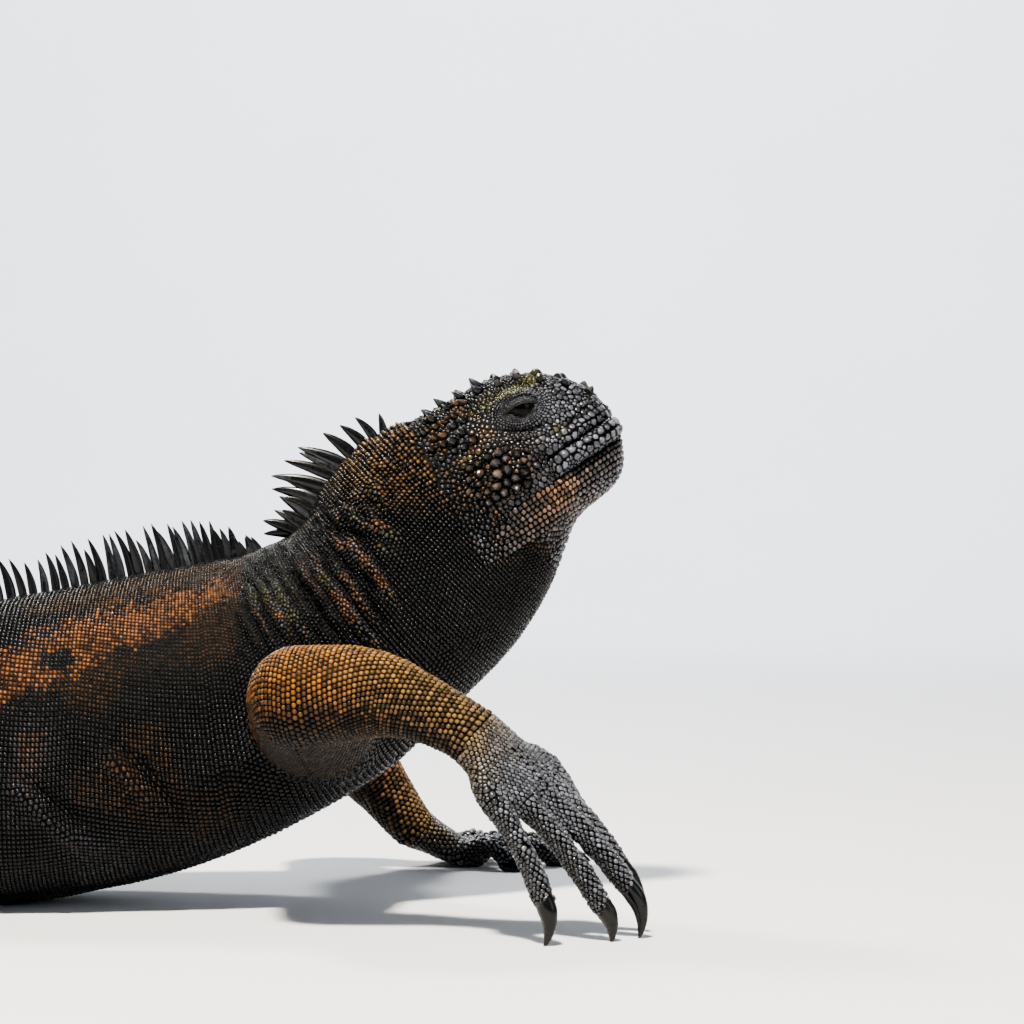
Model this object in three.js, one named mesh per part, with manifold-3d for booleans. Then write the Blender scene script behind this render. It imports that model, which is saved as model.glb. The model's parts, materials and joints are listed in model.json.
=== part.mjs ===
// A marine iguana, life size, lying on its belly with the chest and head raised.
// Millimetres. +Z is up, +X runs from tail to snout, the animal's right side faces -Y, and it rests at Z = 0.
// The origin is on the floor, under the flat of the belly.
import * as THREE from "three";
import { mergeVertices } from "three/addons/utils/BufferGeometryUtils.js";
import Module from "manifold-3d";

const wasm = await Module();
wasm.setup();

// Driving dimensions
const gap = 0.3; // clearance that touching pieces keep
const headTilt = THREE.MathUtils.degToRad(28); // the head is raised this far above level
const eyeCentre = { s: 226.6, z: 190.4 }; // midline point between the eyes, origin of the head's own frame
const eyeRadius = 6.6;
const eyeSide = 20.8; // eyeball centre from the midline
const lidThickness = 1.1;
const mouthCorner = { x: 1.5, z: -21.6 }; // in the head's frame
const mouthFront = { x: 31, z: -18.6 };

// Sections of head, neck, trunk and tail, from snout to tail tip. Each joins a point of the back line to one of
// the belly line: top s and z, bottom s and z, half width, height of the widest level as a share, and how
// square the upper and lower halves are. s is measured along the animal before the tail is bent sideways.
const bodySections = [
  ["snout tip", 265.4, 187.5, 267.4, 178.5, 5, 0.5, 2.2, 2.2],
  ["lips", 262.0, 193.6, 267.8, 170.4, 11.5, 0.5, 2.3, 2.2],
  ["nostrils", 257.6, 197.4, 264.2, 163.4, 16, 0.5, 2.3, 2.3],
  ["forehead", 250.0, 201.6, 257.0, 156.4, 20, 0.47, 2.2, 2.3],
  ["brow", 238.4, 204.6, 250.6, 151.6, 24, 0.46, 2.2, 2.3],
  ["crown", 225.6, 205.2, 247.4, 147.0, 27.4, 0.44, 2.1, 2.3],
  ["jowls", 211.6, 202.0, 245.0, 141.4, 30.4, 0.42, 2.0, 2.2],
  ["occiput", 197.7, 193.8, 242.6, 133.9, 31.4, 0.44, 2.0, 2.1],
  ["nape", 184.6, 187.0, 239.0, 124.0, 31.4, 0.46, 2.0, 2.0],
  ["upper neck", 168.0, 179.6, 233.2, 112.6, 33, 0.46, 2.0, 2.0],
  ["lower neck", 153.7, 165.8, 223.5, 98.6, 39, 0.45, 2.0, 2.0],
  ["neck root", 141.8, 147.4, 204.8, 79.2, 46, 0.44, 2.0, 2.1],
  ["shoulders", 125.6, 136.6, 169.7, 48.0, 54, 0.43, 2.0, 2.2],
  ["chest", 101.4, 131.4, 115.1, 19.5, 58, 0.42, 2.0, 2.3],
  ["front ribs", 58.5, 123.2, 56.6, 3.4, 60.5, 0.41, 1.95, 2.4],
  ["belly", 0, 112, 0, -2.0, 62, 0.4, 1.9, 2.5],
  ["loin", -52, 101, -52, -2.0, 57, 0.4, 1.9, 2.5],
  ["hips", -98, 88, -98, -1.6, 45, 0.42, 1.9, 2.4],
  ["vent", -136, 71, -136, -0.6, 31, 0.44, 1.8, 2.1],
  ["tail root", -170, 60, -170, -0.6, 25, 0.46, 1.7, 1.9],
  ["tail fore", -250, 48.5, -250, -0.8, 16.5, 0.46, 1.6, 1.7],
  ["tail middle", -360, 38.5, -360, -0.8, 11, 0.46, 1.6, 1.7],
  ["tail rear", -500, 27, -500, -0.6, 7, 0.46, 1.6, 1.8],
  ["tail end", -620, 15, -620, -0.4, 4, 0.48, 1.8, 1.9],
  ["tail tip", -690, 4.6, -690, -0.2, 1.5, 0.5, 2, 2],
];

// Sideways bend of the spine line: [s, heading in degrees] of the direction towards the snout.
const headings = [
  [300, 0],
  [-40, 0],
  [-150, -9],
  [-280, -30],
  [-400, -27],
  [-520, 4],
  [-640, 34],
  [-700, 40],
];

// Where one node ends and the next begins, as s of the section's middle.
const cuts = {
  neck: 217,
  chest: 176,
  belly: 62,
  hips: -44,
  tail1: -142,
  tail2: -236,
  tail3: -350,
  tail4: -468,
  tail5: -580,
};

// Joints and digits of each limb, as [x, distance from the midline, z]. radii are half widths at the trunk,
// elbow, forearm and wrist, across and in depth, and rise lifts the middle of the forearm.
const limbs = {
  right_fore: {
    side: -1,
    joints: [[150, 30, 66], [147, 101, 84], [209, 113, 71]],
    radii: [[25, 21], [19, 18.5], [14.4, 14], [12.6, 9]],
    rise: 7,
    knuckles: [
      [214, 128, 52],
      [222, 121.5, 53],
      [229, 114, 54],
      [233, 107, 55.5],
      [235, 99.5, 60],
    ],
    tips: [
      [234, 139, 15],
      [254.5, 127.5, 12],
      [264, 118.5, 17.5],
      [262, 105, 23],
      [250.5, 94, 31],
    ],
    claws: [
      [234, 141, -0.8],
      [257.5, 129.5, -0.8],
      [267.5, 120.5, -0.6],
      [270.5, 105.5, 8],
      [258, 92, 21],
    ],
    palm: [16.5, 6.6],
    arch: 2.4,
    thickness: [5.4, 4.5],
  },
  left_fore: {
    side: 1,
    joints: [[150, 30, 64], [136, 102, 66], [181, 124, 17]],
    radii: [[25, 21], [18.5, 18], [14.4, 14], [12.4, 8.8]],
    rise: 4,
    knuckles: [
      [193, 143, 5.2],
      [200, 137.5, 5.6],
      [204, 130.5, 6],
      [204, 123.5, 6],
      [200, 116, 5.6],
    ],
    tips: [
      [213, 164, 3],
      [236, 162, 3],
      [247, 144, 3],
      [240, 124, 3],
      [221, 104, 3],
    ],
    claws: [
      [221, 171, -0.8],
      [245, 168, -0.8],
      [258, 147, -0.8],
      [251.5, 122.5, -0.8],
      [229, 98.5, -0.8],
    ],
    palm: [16.5, 6.6],
    arch: 6,
    thickness: [5.4, 4.5],
  },
  right_hind: {
    side: -1,
    joints: [[-96, 22, 42], [-50, 108, 46], [-112, 138, 14]],
    radii: [[30, 27], [19, 18.5], [16.4, 15.6], [11.6, 9.2]],
    rise: 2,
    knuckles: [
      [-104, 160, 5.4],
      [-88, 162, 5.8],
      [-82, 156, 6],
      [-80, 149.5, 6],
      [-84, 142.5, 5.8],
    ],
    tips: [
      [-86, 190, 3],
      [-32, 190, 3],
      [-30, 168, 3],
      [-42, 149, 3],
      [-61, 133, 3],
    ],
    claws: [
      [-78, 198, -0.8],
      [-21.5, 194.5, -0.8],
      [-18.5, 168.5, -0.8],
      [-31, 147, -0.8],
      [-51.5, 129, -0.8],
    ],
    palm: [16, 7.4],
    arch: 6.5,
    thickness: [5.4, 4],
  },
  left_hind: {
    side: 1,
    joints: [[-92, 22, 42], [-64, 112, 50], [-126, 128, 14]],
    radii: [[30, 27], [19, 18.5], [16.4, 15.6], [11.6, 9.2]],
    rise: 2,
    knuckles: [
      [-122, 151, 5.4],
      [-106, 155, 5.8],
      [-99, 150.5, 6],
      [-96, 144.5, 6],
      [-99, 137, 5.8],
    ],
    tips: [
      [-112, 184, 3],
      [-58, 196, 3],
      [-50, 175, 3],
      [-58, 152, 3],
      [-74, 132, 3],
    ],
    claws: [
      [-106, 193, -0.8],
      [-48.5, 203, -0.8],
      [-38.5, 178, -0.8],
      [-46.5, 152, -0.8],
      [-64, 129, -0.8],
    ],
    palm: [16, 7.4],
    arch: 6.5,
    thickness: [5.4, 4],
  },
};
const digitNames = ["5", "4", "3", "2", "1"]; // from the outer edge of the foot inwards

// The crest, as [s of the midline section, spine length, spacing]: nape, shoulders, back, tail.
const crest = [
  [204, 8, 4.8],
  [194, 12, 5],
  [184, 19, 5],
  [172, 21, 5.2],
  [160, 17, 5.2],
  [150, 12.5, 5],
  [138, 10, 4.6],
  [118, 16, 4.8],
  [60, 17, 5],
  [-40, 15, 5.4],
  [-130, 11, 6.4],
  [-200, 12, 7.2],
  [-330, 9.5, 8],
  [-520, 6, 8.6],
  [-676, 3.4, 9],
];
const crestLean = [0.16, 0.46]; // lean back from the skin's normal, of the shortest and the longest spines

// Lips, nostrils and ears, as radii and places in the head's frame
const upperLip = { above: 3.6, radius: 2.6 };
const lowerLip = { above: -4.6, radius: 3.1 };
const slitHeight = 1; // of the mouth line
const slitDepth = 0.93; // share of the head that the mouth line leaves whole
const nostril = { x: 27, z: -6, rim: 2.9, hole: [1.5, 2.2, 1.1] };
const ear = { x: -27, z: -6, cup: [4.4, 1.7, 5.2] };
const lidSlit = { long: 6.2, high: 2.7, tilt: THREE.MathUtils.degToRad(7) };

// Cone scutes over the crown: rows from forehead to occiput, each with some beside the midline
const crownRows = { count: 8, first: 23, pitch: 6.2, height: 12, occiputFrom: 5 };
const crownRow = { count: 3, first: 0.16, pitch: 0.27, stagger: 0.12 };
const scuteRadius = [2.3, 2.9];

const colours = {
  skin: "#2b2a28",
  rust: "#7c5233",
  ochre: "#8a6231",
  hand: "#3c3d3c",
  claw: "#1b1a1a",
  eye: "#2a1a12",
};

// Seeded draw, so that the varied pieces come out alike each time.
let seed = 20;
function random(low, high) {
  seed = (seed * 1664525 + 1013904223) % 4294967296;
  return low + ((high - low) * seed) / 4294967296;
}

// Solids
function solidFrom(geometry) {
  const bare = geometry.clone();
  bare.deleteAttribute("normal");
  bare.deleteAttribute("uv");
  const merged = mergeVertices(bare, 1e-4);
  const vertProperties = new Float32Array(merged.attributes.position.array);
  const build = (triVerts) => new wasm.Manifold(new wasm.Mesh({ numProp: 3, vertProperties, triVerts }));
  const triangles = new Uint32Array(merged.index.array);
  const solid = build(triangles);
  return solid.volume() > 0 ? solid : build(triangles.reverse());
}

function meshFrom(name, solid, colour, roughness) {
  const { vertProperties, triVerts, numProp } = largest(solid).getMesh();
  const positions = new Float32Array((vertProperties.length / numProp) * 3);
  for (let i = 0; i < positions.length / 3; i++) {
    positions.set(vertProperties.subarray(i * numProp, i * numProp + 3), i * 3);
  }
  const geometry = new THREE.BufferGeometry();
  geometry.setAttribute("position", new THREE.BufferAttribute(positions, 3));
  geometry.setIndex(new THREE.BufferAttribute(new Uint32Array(triVerts), 1));
  geometry.computeVertexNormals();
  const material = new THREE.MeshStandardMaterial({ color: colour, roughness, metalness: 0 });
  const mesh = new THREE.Mesh(geometry, material);
  mesh.name = name;
  return mesh;
}

// A node keeps its largest closed surface, so that no scrap or sealed hollow is left.
function largest(solid) {
  return solid.decompose().reduce((best, piece) => (piece.volume() > best.volume() ? piece : best));
}

// A capped cylinder, or a cone with its apex at row 0, whose vertices are moved by place(row, angle, rim).
function loft(rows, sides, place, pointed = false) {
  const geometry = new THREE.CylinderGeometry(pointed ? 0 : 1, 1, 1, sides, rows - 1);
  const position = geometry.attributes.position;
  for (let i = 0; i < position.count; i++) {
    const row = Math.round((0.5 - position.getY(i)) * (rows - 1));
    const rim = Math.hypot(position.getX(i), position.getZ(i)) > 1e-6 ? 1 : 0;
    const point = place(row, Math.atan2(position.getX(i), position.getZ(i)), rim);
    position.setXYZ(i, point.x, point.y, point.z);
  }
  return solidFrom(geometry);
}

// Smooth interpolation of one column of a table over uneven knots.
function blend(knots, values, t) {
  const last = knots.length - 1;
  const u = THREE.MathUtils.clamp(t, knots[0], knots[last]);
  let i = 0;
  while (i < last - 1 && knots[i + 1] < u) i++;
  const slope = (k) => {
    const [a, b] = [Math.max(k - 1, 0), Math.min(k + 1, last)];
    return (values[b] - values[a]) / (knots[b] - knots[a]);
  };
  const span = knots[i + 1] - knots[i];
  const f = (u - knots[i]) / span;
  const [f2, f3] = [f * f, f * f * f];
  return (
    values[i] * (2 * f3 - 3 * f2 + 1) +
    slope(i) * span * (f3 - 2 * f2 + f) +
    values[i + 1] * (3 * f2 - 2 * f3) +
    slope(i + 1) * span * (f3 - f2)
  );
}

// Spine line in plan: walks back from the snout and gives x, y and heading at each s.
const planStep = 2;
const planStart = 300;
const planPoints = [];
{
  const knots = headings.map(([s]) => -s);
  const angles = headings.map(([, angle]) => THREE.MathUtils.degToRad(angle));
  let [x, y] = [planStart, 0];
  for (let s = planStart; s >= -720; s -= planStep) {
    const angle = blend(knots, angles, -s);
    planPoints.push({ x, y, angle });
    x -= planStep * Math.cos(angle);
    y -= planStep * Math.sin(angle);
  }
}

// Turns (s along the animal, l to its left, z up) into a point of the model.
function bend(s, l, z) {
  const place = THREE.MathUtils.clamp((planStart - s) / planStep, 0, planPoints.length - 2);
  const i = Math.floor(place);
  const f = place - i;
  const [a, b] = [planPoints[i], planPoints[i + 1]];
  const angle = a.angle + (b.angle - a.angle) * f;
  return new THREE.Vector3(
    a.x + (b.x - a.x) * f - l * Math.sin(angle),
    a.y + (b.y - a.y) * f + l * Math.cos(angle),
    z,
  );
}

// The body's sections, with their middles' distance along the centreline as knots.
const column = (k) => bodySections.map((row) => row[k]);
const middles = bodySections.map((row) => [(row[1] + row[3]) / 2, (row[2] + row[4]) / 2]);
const bodyKnots = [0];
for (let i = 1; i < middles.length; i++) {
  const step = Math.hypot(middles[i][0] - middles[i - 1][0], middles[i][1] - middles[i - 1][1]);
  bodyKnots.push(bodyKnots[i - 1] + step);
}
const bodyLength = bodyKnots[bodyKnots.length - 1];
const columns = [1, 2, 3, 4, 5, 6, 7, 8].map(column);
const bodyRing = (t) => columns.map((values) => blend(bodyKnots, values, t));
const knotOfS = (s) =>
  blend(
    middles.map(([m]) => -m),
    bodyKnots,
    -s,
  );

// The head's own frame: x forward along the head, z up from the eye line.
function toHead(s, z) {
  const [ds, dz] = [s - eyeCentre.s, z - eyeCentre.z];
  return {
    x: ds * Math.cos(headTilt) + dz * Math.sin(headTilt),
    z: -ds * Math.sin(headTilt) + dz * Math.cos(headTilt),
  };
}

function fromHead(x, l, z) {
  const s = eyeCentre.s + x * Math.cos(headTilt) - z * Math.sin(headTilt);
  return new THREE.Vector3(s, l, eyeCentre.z + x * Math.sin(headTilt) + z * Math.cos(headTilt));
}

// Places of the larger cones of jowls and occiput, x and z in the head's frame.
const jowlPlaces = [
  [-12, -14],
  [-19, -13],
  [-26, -13],
  [-8, -20],
  [-15, -20.5],
  [-22, -20],
  [-12, -27],
  [-19, -27.5],
  [-5, -26],
];
const occiputPlaces = [
  [-28, 6],
  [-24, 12],
  [-31, 12],
  [-35, 4],
];

// Forms of the head, raised or hollow: middle x, side, z and the reach and height, in the head's frame.
const headForms = {
  browRidge: [2, 21, 9, 12, 7, 4.5, 2.2],
  eyeHollow: [0, 26, -1.5, 10, 9, 6.5, -2.4],
  cheek: [-14, 28, -23, 13, 12, 11, 3],
  temple: [-22, 27, 2, 8, 9, 7, 1.4],
  snoutHollow: [17, 16, -5, 6.5, 6, 5, -1.6],
  noseBoss: [25, 8, -6, 6, 6, 5, 1.2],
};

function headRelief(s, l, z) {
  const at = toHead(s, z);
  return Object.values(headForms).reduce((sum, [x, side, up, rx, ry, rz, height]) => {
    const reach = ((at.x - x) / rx) ** 2 + ((Math.abs(l) - side) / ry) ** 2 + ((at.z - up) / rz) ** 2;
    return sum + height * Math.exp(-reach);
  }, 0);
}

const knotOfSection = (name) => bodyKnots[bodySections.findIndex((row) => row[0] === name)];
const reliefEnd = knotOfSection("upper neck"); // the head's forms fade out before this
const neckRoot = knotOfSection("neck root");

// A point of the body's surface at distance t along it and at an angle round it from the back line.
function bodyPoint(t, angle, grow = 0, rim = 1) {
  const [topS, topZ, bottomS, bottomZ, half, widest, upper, lower] = bodyRing(t);
  const height = Math.hypot(topS - bottomS, topZ - bottomZ);
  const [upS, upZ] = [(topS - bottomS) / height, (topZ - bottomZ) / height];
  const [across, up] = [Math.sin(angle), Math.cos(angle)];
  const power = 2 / (up >= 0 ? upper : lower);
  const bow = (value) => Math.sign(value) * Math.abs(value) ** power;
  const reach = (up >= 0 ? 1 - widest : widest) * height + grow;
  let [l, v] = [rim * (half + grow) * bow(across), rim * reach * bow(up)];
  const sAt = (value) => bottomS + upS * (widest * height + value);
  const zAt = (value) => bottomZ + upZ * (widest * height + value);
  if (rim && t < reliefEnd) {
    const stretch = 1 + headRelief(sAt(v), l, zAt(v)) / (Math.hypot(l, v) || 1);
    l *= stretch;
    v *= stretch;
  }
  return bend(sAt(v), l, Math.max(zAt(v), 0));
}

function bodySolid(from, to, rows, sides, grow = 0) {
  return loft(rows, sides, (row, angle, rim) =>
    bodyPoint(from + ((to - from) * row) / (rows - 1), angle, grow, rim),
  );
}

// Surface samples of the head and neck, to find the skin at a place seen from the side.
const skinSamples = [];
for (let t = 0; t < neckRoot; t += 1.2) {
  for (let angle = 0.02; angle < Math.PI; angle += 0.05) {
    skinSamples.push({ t, angle, point: bodyPoint(t, angle) });
  }
}

function skinAt(x, z) {
  const wanted = fromHead(x, 0, z);
  const distance = ({ point }) => (point.x - wanted.x) ** 2 + (point.z - wanted.z) ** 2;
  return skinSamples.reduce((best, sample) => (distance(sample) < distance(best) ? sample : best));
}

function skinNormal(t, angle) {
  const here = bodyPoint(t, angle);
  const along = bodyPoint(t + 0.5, angle).sub(here);
  const round = bodyPoint(t, angle + 0.02).sub(here);
  const normal = along.cross(round).normalize();
  const outward = here.clone().sub(bodyPoint(t, angle, 0, 0));
  return normal.dot(outward) < 0 ? normal.negate() : normal;
}

// Tapered horn with its apex first and its root sunk in the skin. A plain one is a straight cone.
function horn(base, direction, lengthwise, { length, half, thin, bendBy, plain }) {
  const along = lengthwise.clone().addScaledVector(direction, -lengthwise.dot(direction)).normalize();
  const across = direction.clone().cross(along);
  const sunk = 2.2;
  const middle = { at: length * 0.5, size: 0.74, shift: bendBy * 0.25 };
  const [apex, root] = [{ at: length, size: 0, shift: bendBy }, { at: -sunk, size: 1.1, shift: 0 }];
  const rows = plain ? [apex, root] : [apex, middle, root];
  return loft(
    rows.length,
    4,
    (row, angle, rim) => {
      const { at, size, shift } = rows[row];
      return base
        .clone()
        .addScaledVector(direction, at)
        .addScaledVector(along, shift + rim * size * half * Math.cos(angle))
        .addScaledVector(across, rim * size * thin * Math.sin(angle));
    },
    true,
  );
}

// Low pyramid with its root sunk in the skin.
function scute(sample, side, radius, height, leanBack) {
  const angle = sample.angle * side;
  const point = bodyPoint(sample.t, angle);
  const normal = skinNormal(sample.t, angle);
  const backwards = bodyPoint(sample.t + 2, angle).sub(point).normalize();
  const direction = normal.clone().addScaledVector(backwards, leanBack).normalize();
  const across = direction.clone().cross(backwards).normalize();
  const along = across.clone().cross(direction);
  return loft(
    2,
    4,
    (row, turn, rim) => {
      const at = row === 0 ? height : -radius * 0.55;
      const size = row === 0 ? 0 : radius * 1.25;
      return point
        .clone()
        .addScaledVector(direction, at)
        .addScaledVector(along, rim * size * Math.cos(turn))
        .addScaledVector(across, rim * size * Math.sin(turn));
    },
    true,
  );
}

// Oval bar along a smooth path, with flat or rounded ends. Its sizes are half width across and half depth.
function bar(points, sizes, across, { rows, sides, roundStart = false, roundEnd = false, power = 2 }) {
  const curve = new THREE.CatmullRomCurve3(points, false, "centripetal");
  const knots = sizes.map((_, i) => i / (sizes.length - 1));
  const sizeAt = (u, k) => blend(knots, sizes.map((size) => size[k]), u);
  const rings = Array.from({ length: rows }, (_, i) => {
    let u = i / (rows - 1);
    let shrink = 1;
    let out = 0;
    if (roundStart && i < 3) {
      const turn = [0.25, 0.75, 1.2][i];
      shrink = Math.sin(turn);
      out = -sizes[0][1] * Math.cos(turn);
      u = (0.02 * i) / (rows - 1);
    }
    if (roundEnd && i > rows - 4) {
      const turn = [0.25, 0.75, 1.2][rows - 1 - i];
      shrink = Math.sin(turn);
      out = sizes[sizes.length - 1][1] * Math.cos(turn);
      u = 1 - (0.02 * (rows - 1 - i)) / (rows - 1);
    }
    const tangent = curve.getTangentAt(u);
    const centre = curve.getPointAt(u).addScaledVector(tangent, out);
    const side = across.clone().addScaledVector(tangent, -across.dot(tangent)).normalize();
    const [a, b] = [sizeAt(u, 0) * shrink, sizeAt(u, 1) * shrink];
    return { centre, side, up: tangent.clone().cross(side), a, b };
  });
  const bow = (value) => Math.sign(value) * Math.abs(value) ** (2 / power);
  const solid = loft(rows, sides, (row, angle, rim) => {
    const { centre, side, up, a, b } = rings[row];
    return centre
      .clone()
      .addScaledVector(side, rim * a * bow(Math.sin(angle)))
      .addScaledVector(up, rim * b * bow(Math.cos(angle)));
  });
  return { solid, endRing: rings[rings.length - 1] };
}

const vector = ([x, y, z], side = 1) => new THREE.Vector3(x, side * y, z);

// Thin slab across a joint, which parts what it passes through.
function partingSlab(centre, normal, size) {
  const box = new THREE.BoxGeometry(size, size, gap);
  box.applyQuaternion(new THREE.Quaternion().setFromUnitVectors(new THREE.Vector3(0, 0, 1), normal));
  box.translate(centre.x, centre.y, centre.z);
  return solidFrom(box);
}

const floor = solidFrom(new THREE.BoxGeometry(2400, 2400, 60).translate(0, 0, -30));
const joined = (solids) => solids.reduce((sum, solid) => sum.add(solid));
const middleOf = (points) => {
  const sum = points.reduce((total, point) => total.add(point), new THREE.Vector3());
  return sum.divideScalar(points.length);
};
const centreOf = (solid) => {
  const { min, max } = solid.boundingBox();
  return new THREE.Vector3((min[0] + max[0]) / 2, (min[1] + max[1]) / 2, (min[2] + max[2]) / 2);
};

const iguana = new THREE.Group();
const add = (name, solid, colour, roughness = 0.6) => iguana.add(meshFrom(name, solid, colour, roughness));

// Node ranges along the body
const range = {
  head: [0, knotOfS(cuts.neck)],
  neck: [knotOfS(cuts.neck), knotOfS(cuts.chest)],
  chest: [knotOfS(cuts.chest), knotOfS(cuts.belly)],
  belly: [knotOfS(cuts.belly), knotOfS(cuts.hips)],
  hips: [knotOfS(cuts.hips), knotOfS(cuts.tail1)],
  tail_1: [knotOfS(cuts.tail1), knotOfS(cuts.tail2)],
  tail_2: [knotOfS(cuts.tail2), knotOfS(cuts.tail3)],
  tail_3: [knotOfS(cuts.tail3), knotOfS(cuts.tail4)],
  tail_4: [knotOfS(cuts.tail4), knotOfS(cuts.tail5)],
  tail_5: [knotOfS(cuts.tail5), bodyLength],
};
const meshSize = {
  head: [17, 30],
  neck: [7, 24],
  chest: [9, 24],
  belly: [6, 24],
  hips: [7, 24],
  tail_1: [6, 16],
  tail_2: [6, 12],
  tail_3: [7, 10],
  tail_4: [6, 8],
  tail_5: [6, 8],
};

// Crest spines, placed along the back line and sorted into the nodes that carry them.
function crestSpines() {
  const knots = crest.map(([s]) => -s);
  const spines = {};
  let s = crest[0][0];
  while (s > crest[crest.length - 1][0]) {
    const length = blend(knots, crest.map((row) => row[1]), -s) * random(0.84, 1.12);
    const spacing = blend(knots, crest.map((row) => row[2]), -s);
    const t = knotOfS(s);
    const node = Object.keys(range).find((name) => t >= range[name][0] && t < range[name][1]);
    const clear = Math.min(t - range[node][0], range[node][1] - t);
    if (clear > spacing * 0.62) {
      const root = bodyPoint(t, 0);
      const backwards = bodyPoint(t + 1, 0).sub(root).normalize();
      const sideways = new THREE.Vector3(0, 0, 1).cross(backwards).normalize();
      const normal = backwards.clone().cross(sideways).normalize();
      const lean = THREE.MathUtils.mapLinear(length, 8, 22, ...crestLean) + random(-0.05, 0.05);
      const splay = random(-0.07, 0.07);
      const direction = normal.addScaledVector(backwards, lean).addScaledVector(sideways, splay).normalize();
      const half = Math.min(spacing * 0.47, length * 0.21);
      const thin = Math.max(half * 0.55, 0.8);
      const shape = { length, half, thin, bendBy: length * 0.1, plain: node.startsWith("tail") };
      (spines[node] ??= []).push(horn(root, direction, backwards, shape));
    }
    s -= spacing;
  }
  return spines;
}
const spines = crestSpines();

// Trunk, neck and tail
for (const name of Object.keys(range).slice(1)) {
  const [rows, sides] = meshSize[name];
  const [from, to] = range[name];
  const trunk = bodySolid(from + gap / 2, to - gap / 2, rows, sides);
  const rusty = name === "belly" || name === "chest" || name === "hips";
  add(name, joined([trunk, ...(spines[name] ?? [])]), rusty ? colours.rust : colours.skin);
}

// Head: mouth line, lips, lids, nostrils, ear cups and scutes
function makeHead() {
  const [rows, sides] = meshSize.head;
  const core = bodySolid(0, range.head[1] - gap / 2, rows, sides);
  const mouthSlope = (mouthFront.z - mouthCorner.z) / (mouthFront.x - mouthCorner.x);
  const mouthAt = (x) => mouthCorner.z + (x - mouthCorner.x) * mouthSlope;

  const lip = ({ above, radius }) => {
    const xs = [2, 8, 14, 20, 25, 28.5, 30.5];
    const right = xs.map((x) => {
      const { point } = skinAt(x, mouthAt(x) + above);
      const middle = fromHead(x, 0, mouthAt(x) + above);
      return new THREE.Vector3(middle.x, point.y - radius * 0.45, middle.z);
    });
    const front = fromHead(31.4, 0, mouthAt(31) + above);
    const left = right.map((p) => new THREE.Vector3(p.x, -p.y, p.z)).reverse();
    const path = [...right, front, ...left];
    const sizes = [0.35, 0.8, 1, 1, 1, 1, 0.8, 0.35].map((size) => [radius * size, radius * size]);
    return bar(path, sizes, fromHead(0, 0, 1).sub(fromHead(0, 0, 0)), { rows: 19, sides: 5 }).solid;
  };
  const lips = [lip(upperLip), lip(lowerLip)];

  const lids = [-1, 1].map((side) => {
    const ball = new THREE.SphereGeometry(eyeRadius + gap + lidThickness, 12, 8);
    const at = fromHead(0, side * eyeSide, 0);
    return solidFrom(ball.translate(at.x, at.y, at.z));
  });
  const nostrils = [-1, 1].map((side) => {
    const { point } = skinAt(nostril.x, nostril.z);
    const rim = new THREE.SphereGeometry(nostril.rim, 7, 5);
    return solidFrom(rim.scale(1, 0.8, 0.9).translate(point.x - 0.4, side * (point.y - 0.5), point.z));
  });
  const whole = joined([core, ...lips, ...lids, ...nostrils, ...headScutes()]);

  // Mouth slit: a flat blade through the head less the head's own core.
  const bladeAt = fromHead(25, 0, mouthAt(25));
  const blade = solidFrom(
    new THREE.BoxGeometry(48, 80, slitHeight)
      .rotateY(-headTilt - Math.atan(mouthSlope))
      .translate(bladeAt.x, bladeAt.y, bladeAt.z),
  );
  const heart = fromHead(8, 0, mouthAt(8));
  const inner = core
    .translate([-heart.x, -heart.y, -heart.z])
    .scale([slitDepth, slitDepth, slitDepth])
    .translate([heart.x, heart.y, heart.z]);
  const slit = blade.subtract(inner);

  const sockets = [-1, 1].flatMap((side) => {
    const ball = new THREE.SphereGeometry(eyeRadius + gap, 12, 8);
    const at = fromHead(0, side * eyeSide, 0);
    return [solidFrom(ball.translate(at.x, at.y, at.z)), lidOpening(side)];
  });
  const cups = [-1, 1].flatMap((side) => {
    const earAt = skinAt(ear.x, ear.z).point;
    const holeAt = skinAt(nostril.x + 0.6, nostril.z).point;
    const cup = new THREE.SphereGeometry(1, 8, 6).scale(...ear.cup).rotateY(-headTilt);
    const hole = new THREE.SphereGeometry(1, 6, 4).scale(...nostril.hole).rotateY(-headTilt);
    return [
      solidFrom(cup.translate(earAt.x, side * (earAt.y + 0.2), earAt.z)),
      solidFrom(hole.translate(holeAt.x, side * (holeAt.y + 1.6), holeAt.z)),
    ];
  });
  return [slit, ...sockets, ...cups].reduce((sum, cutter) => sum.subtract(cutter), whole);
}

// Lens-shaped opening between the lids.
function lidOpening(side) {
  const { long, high, tilt } = lidSlit;
  const shape = new THREE.Shape();
  shape.moveTo(-long, 0);
  shape.quadraticCurveTo(0, high * 2, long, 0);
  shape.quadraticCurveTo(0, -high * 2, -long, 0);
  const prism = new THREE.ExtrudeGeometry(shape, { depth: 14, bevelEnabled: false, curveSegments: 5 });
  prism.rotateX(Math.PI / 2); // the shape's plane becomes the head's side plane
  prism.rotateY(-headTilt + tilt);
  const at = fromHead(0, 0, 0);
  const start = side < 0 ? -eyeSide : eyeSide + 14;
  return solidFrom(prism.translate(at.x, start, at.z));
}

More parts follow.
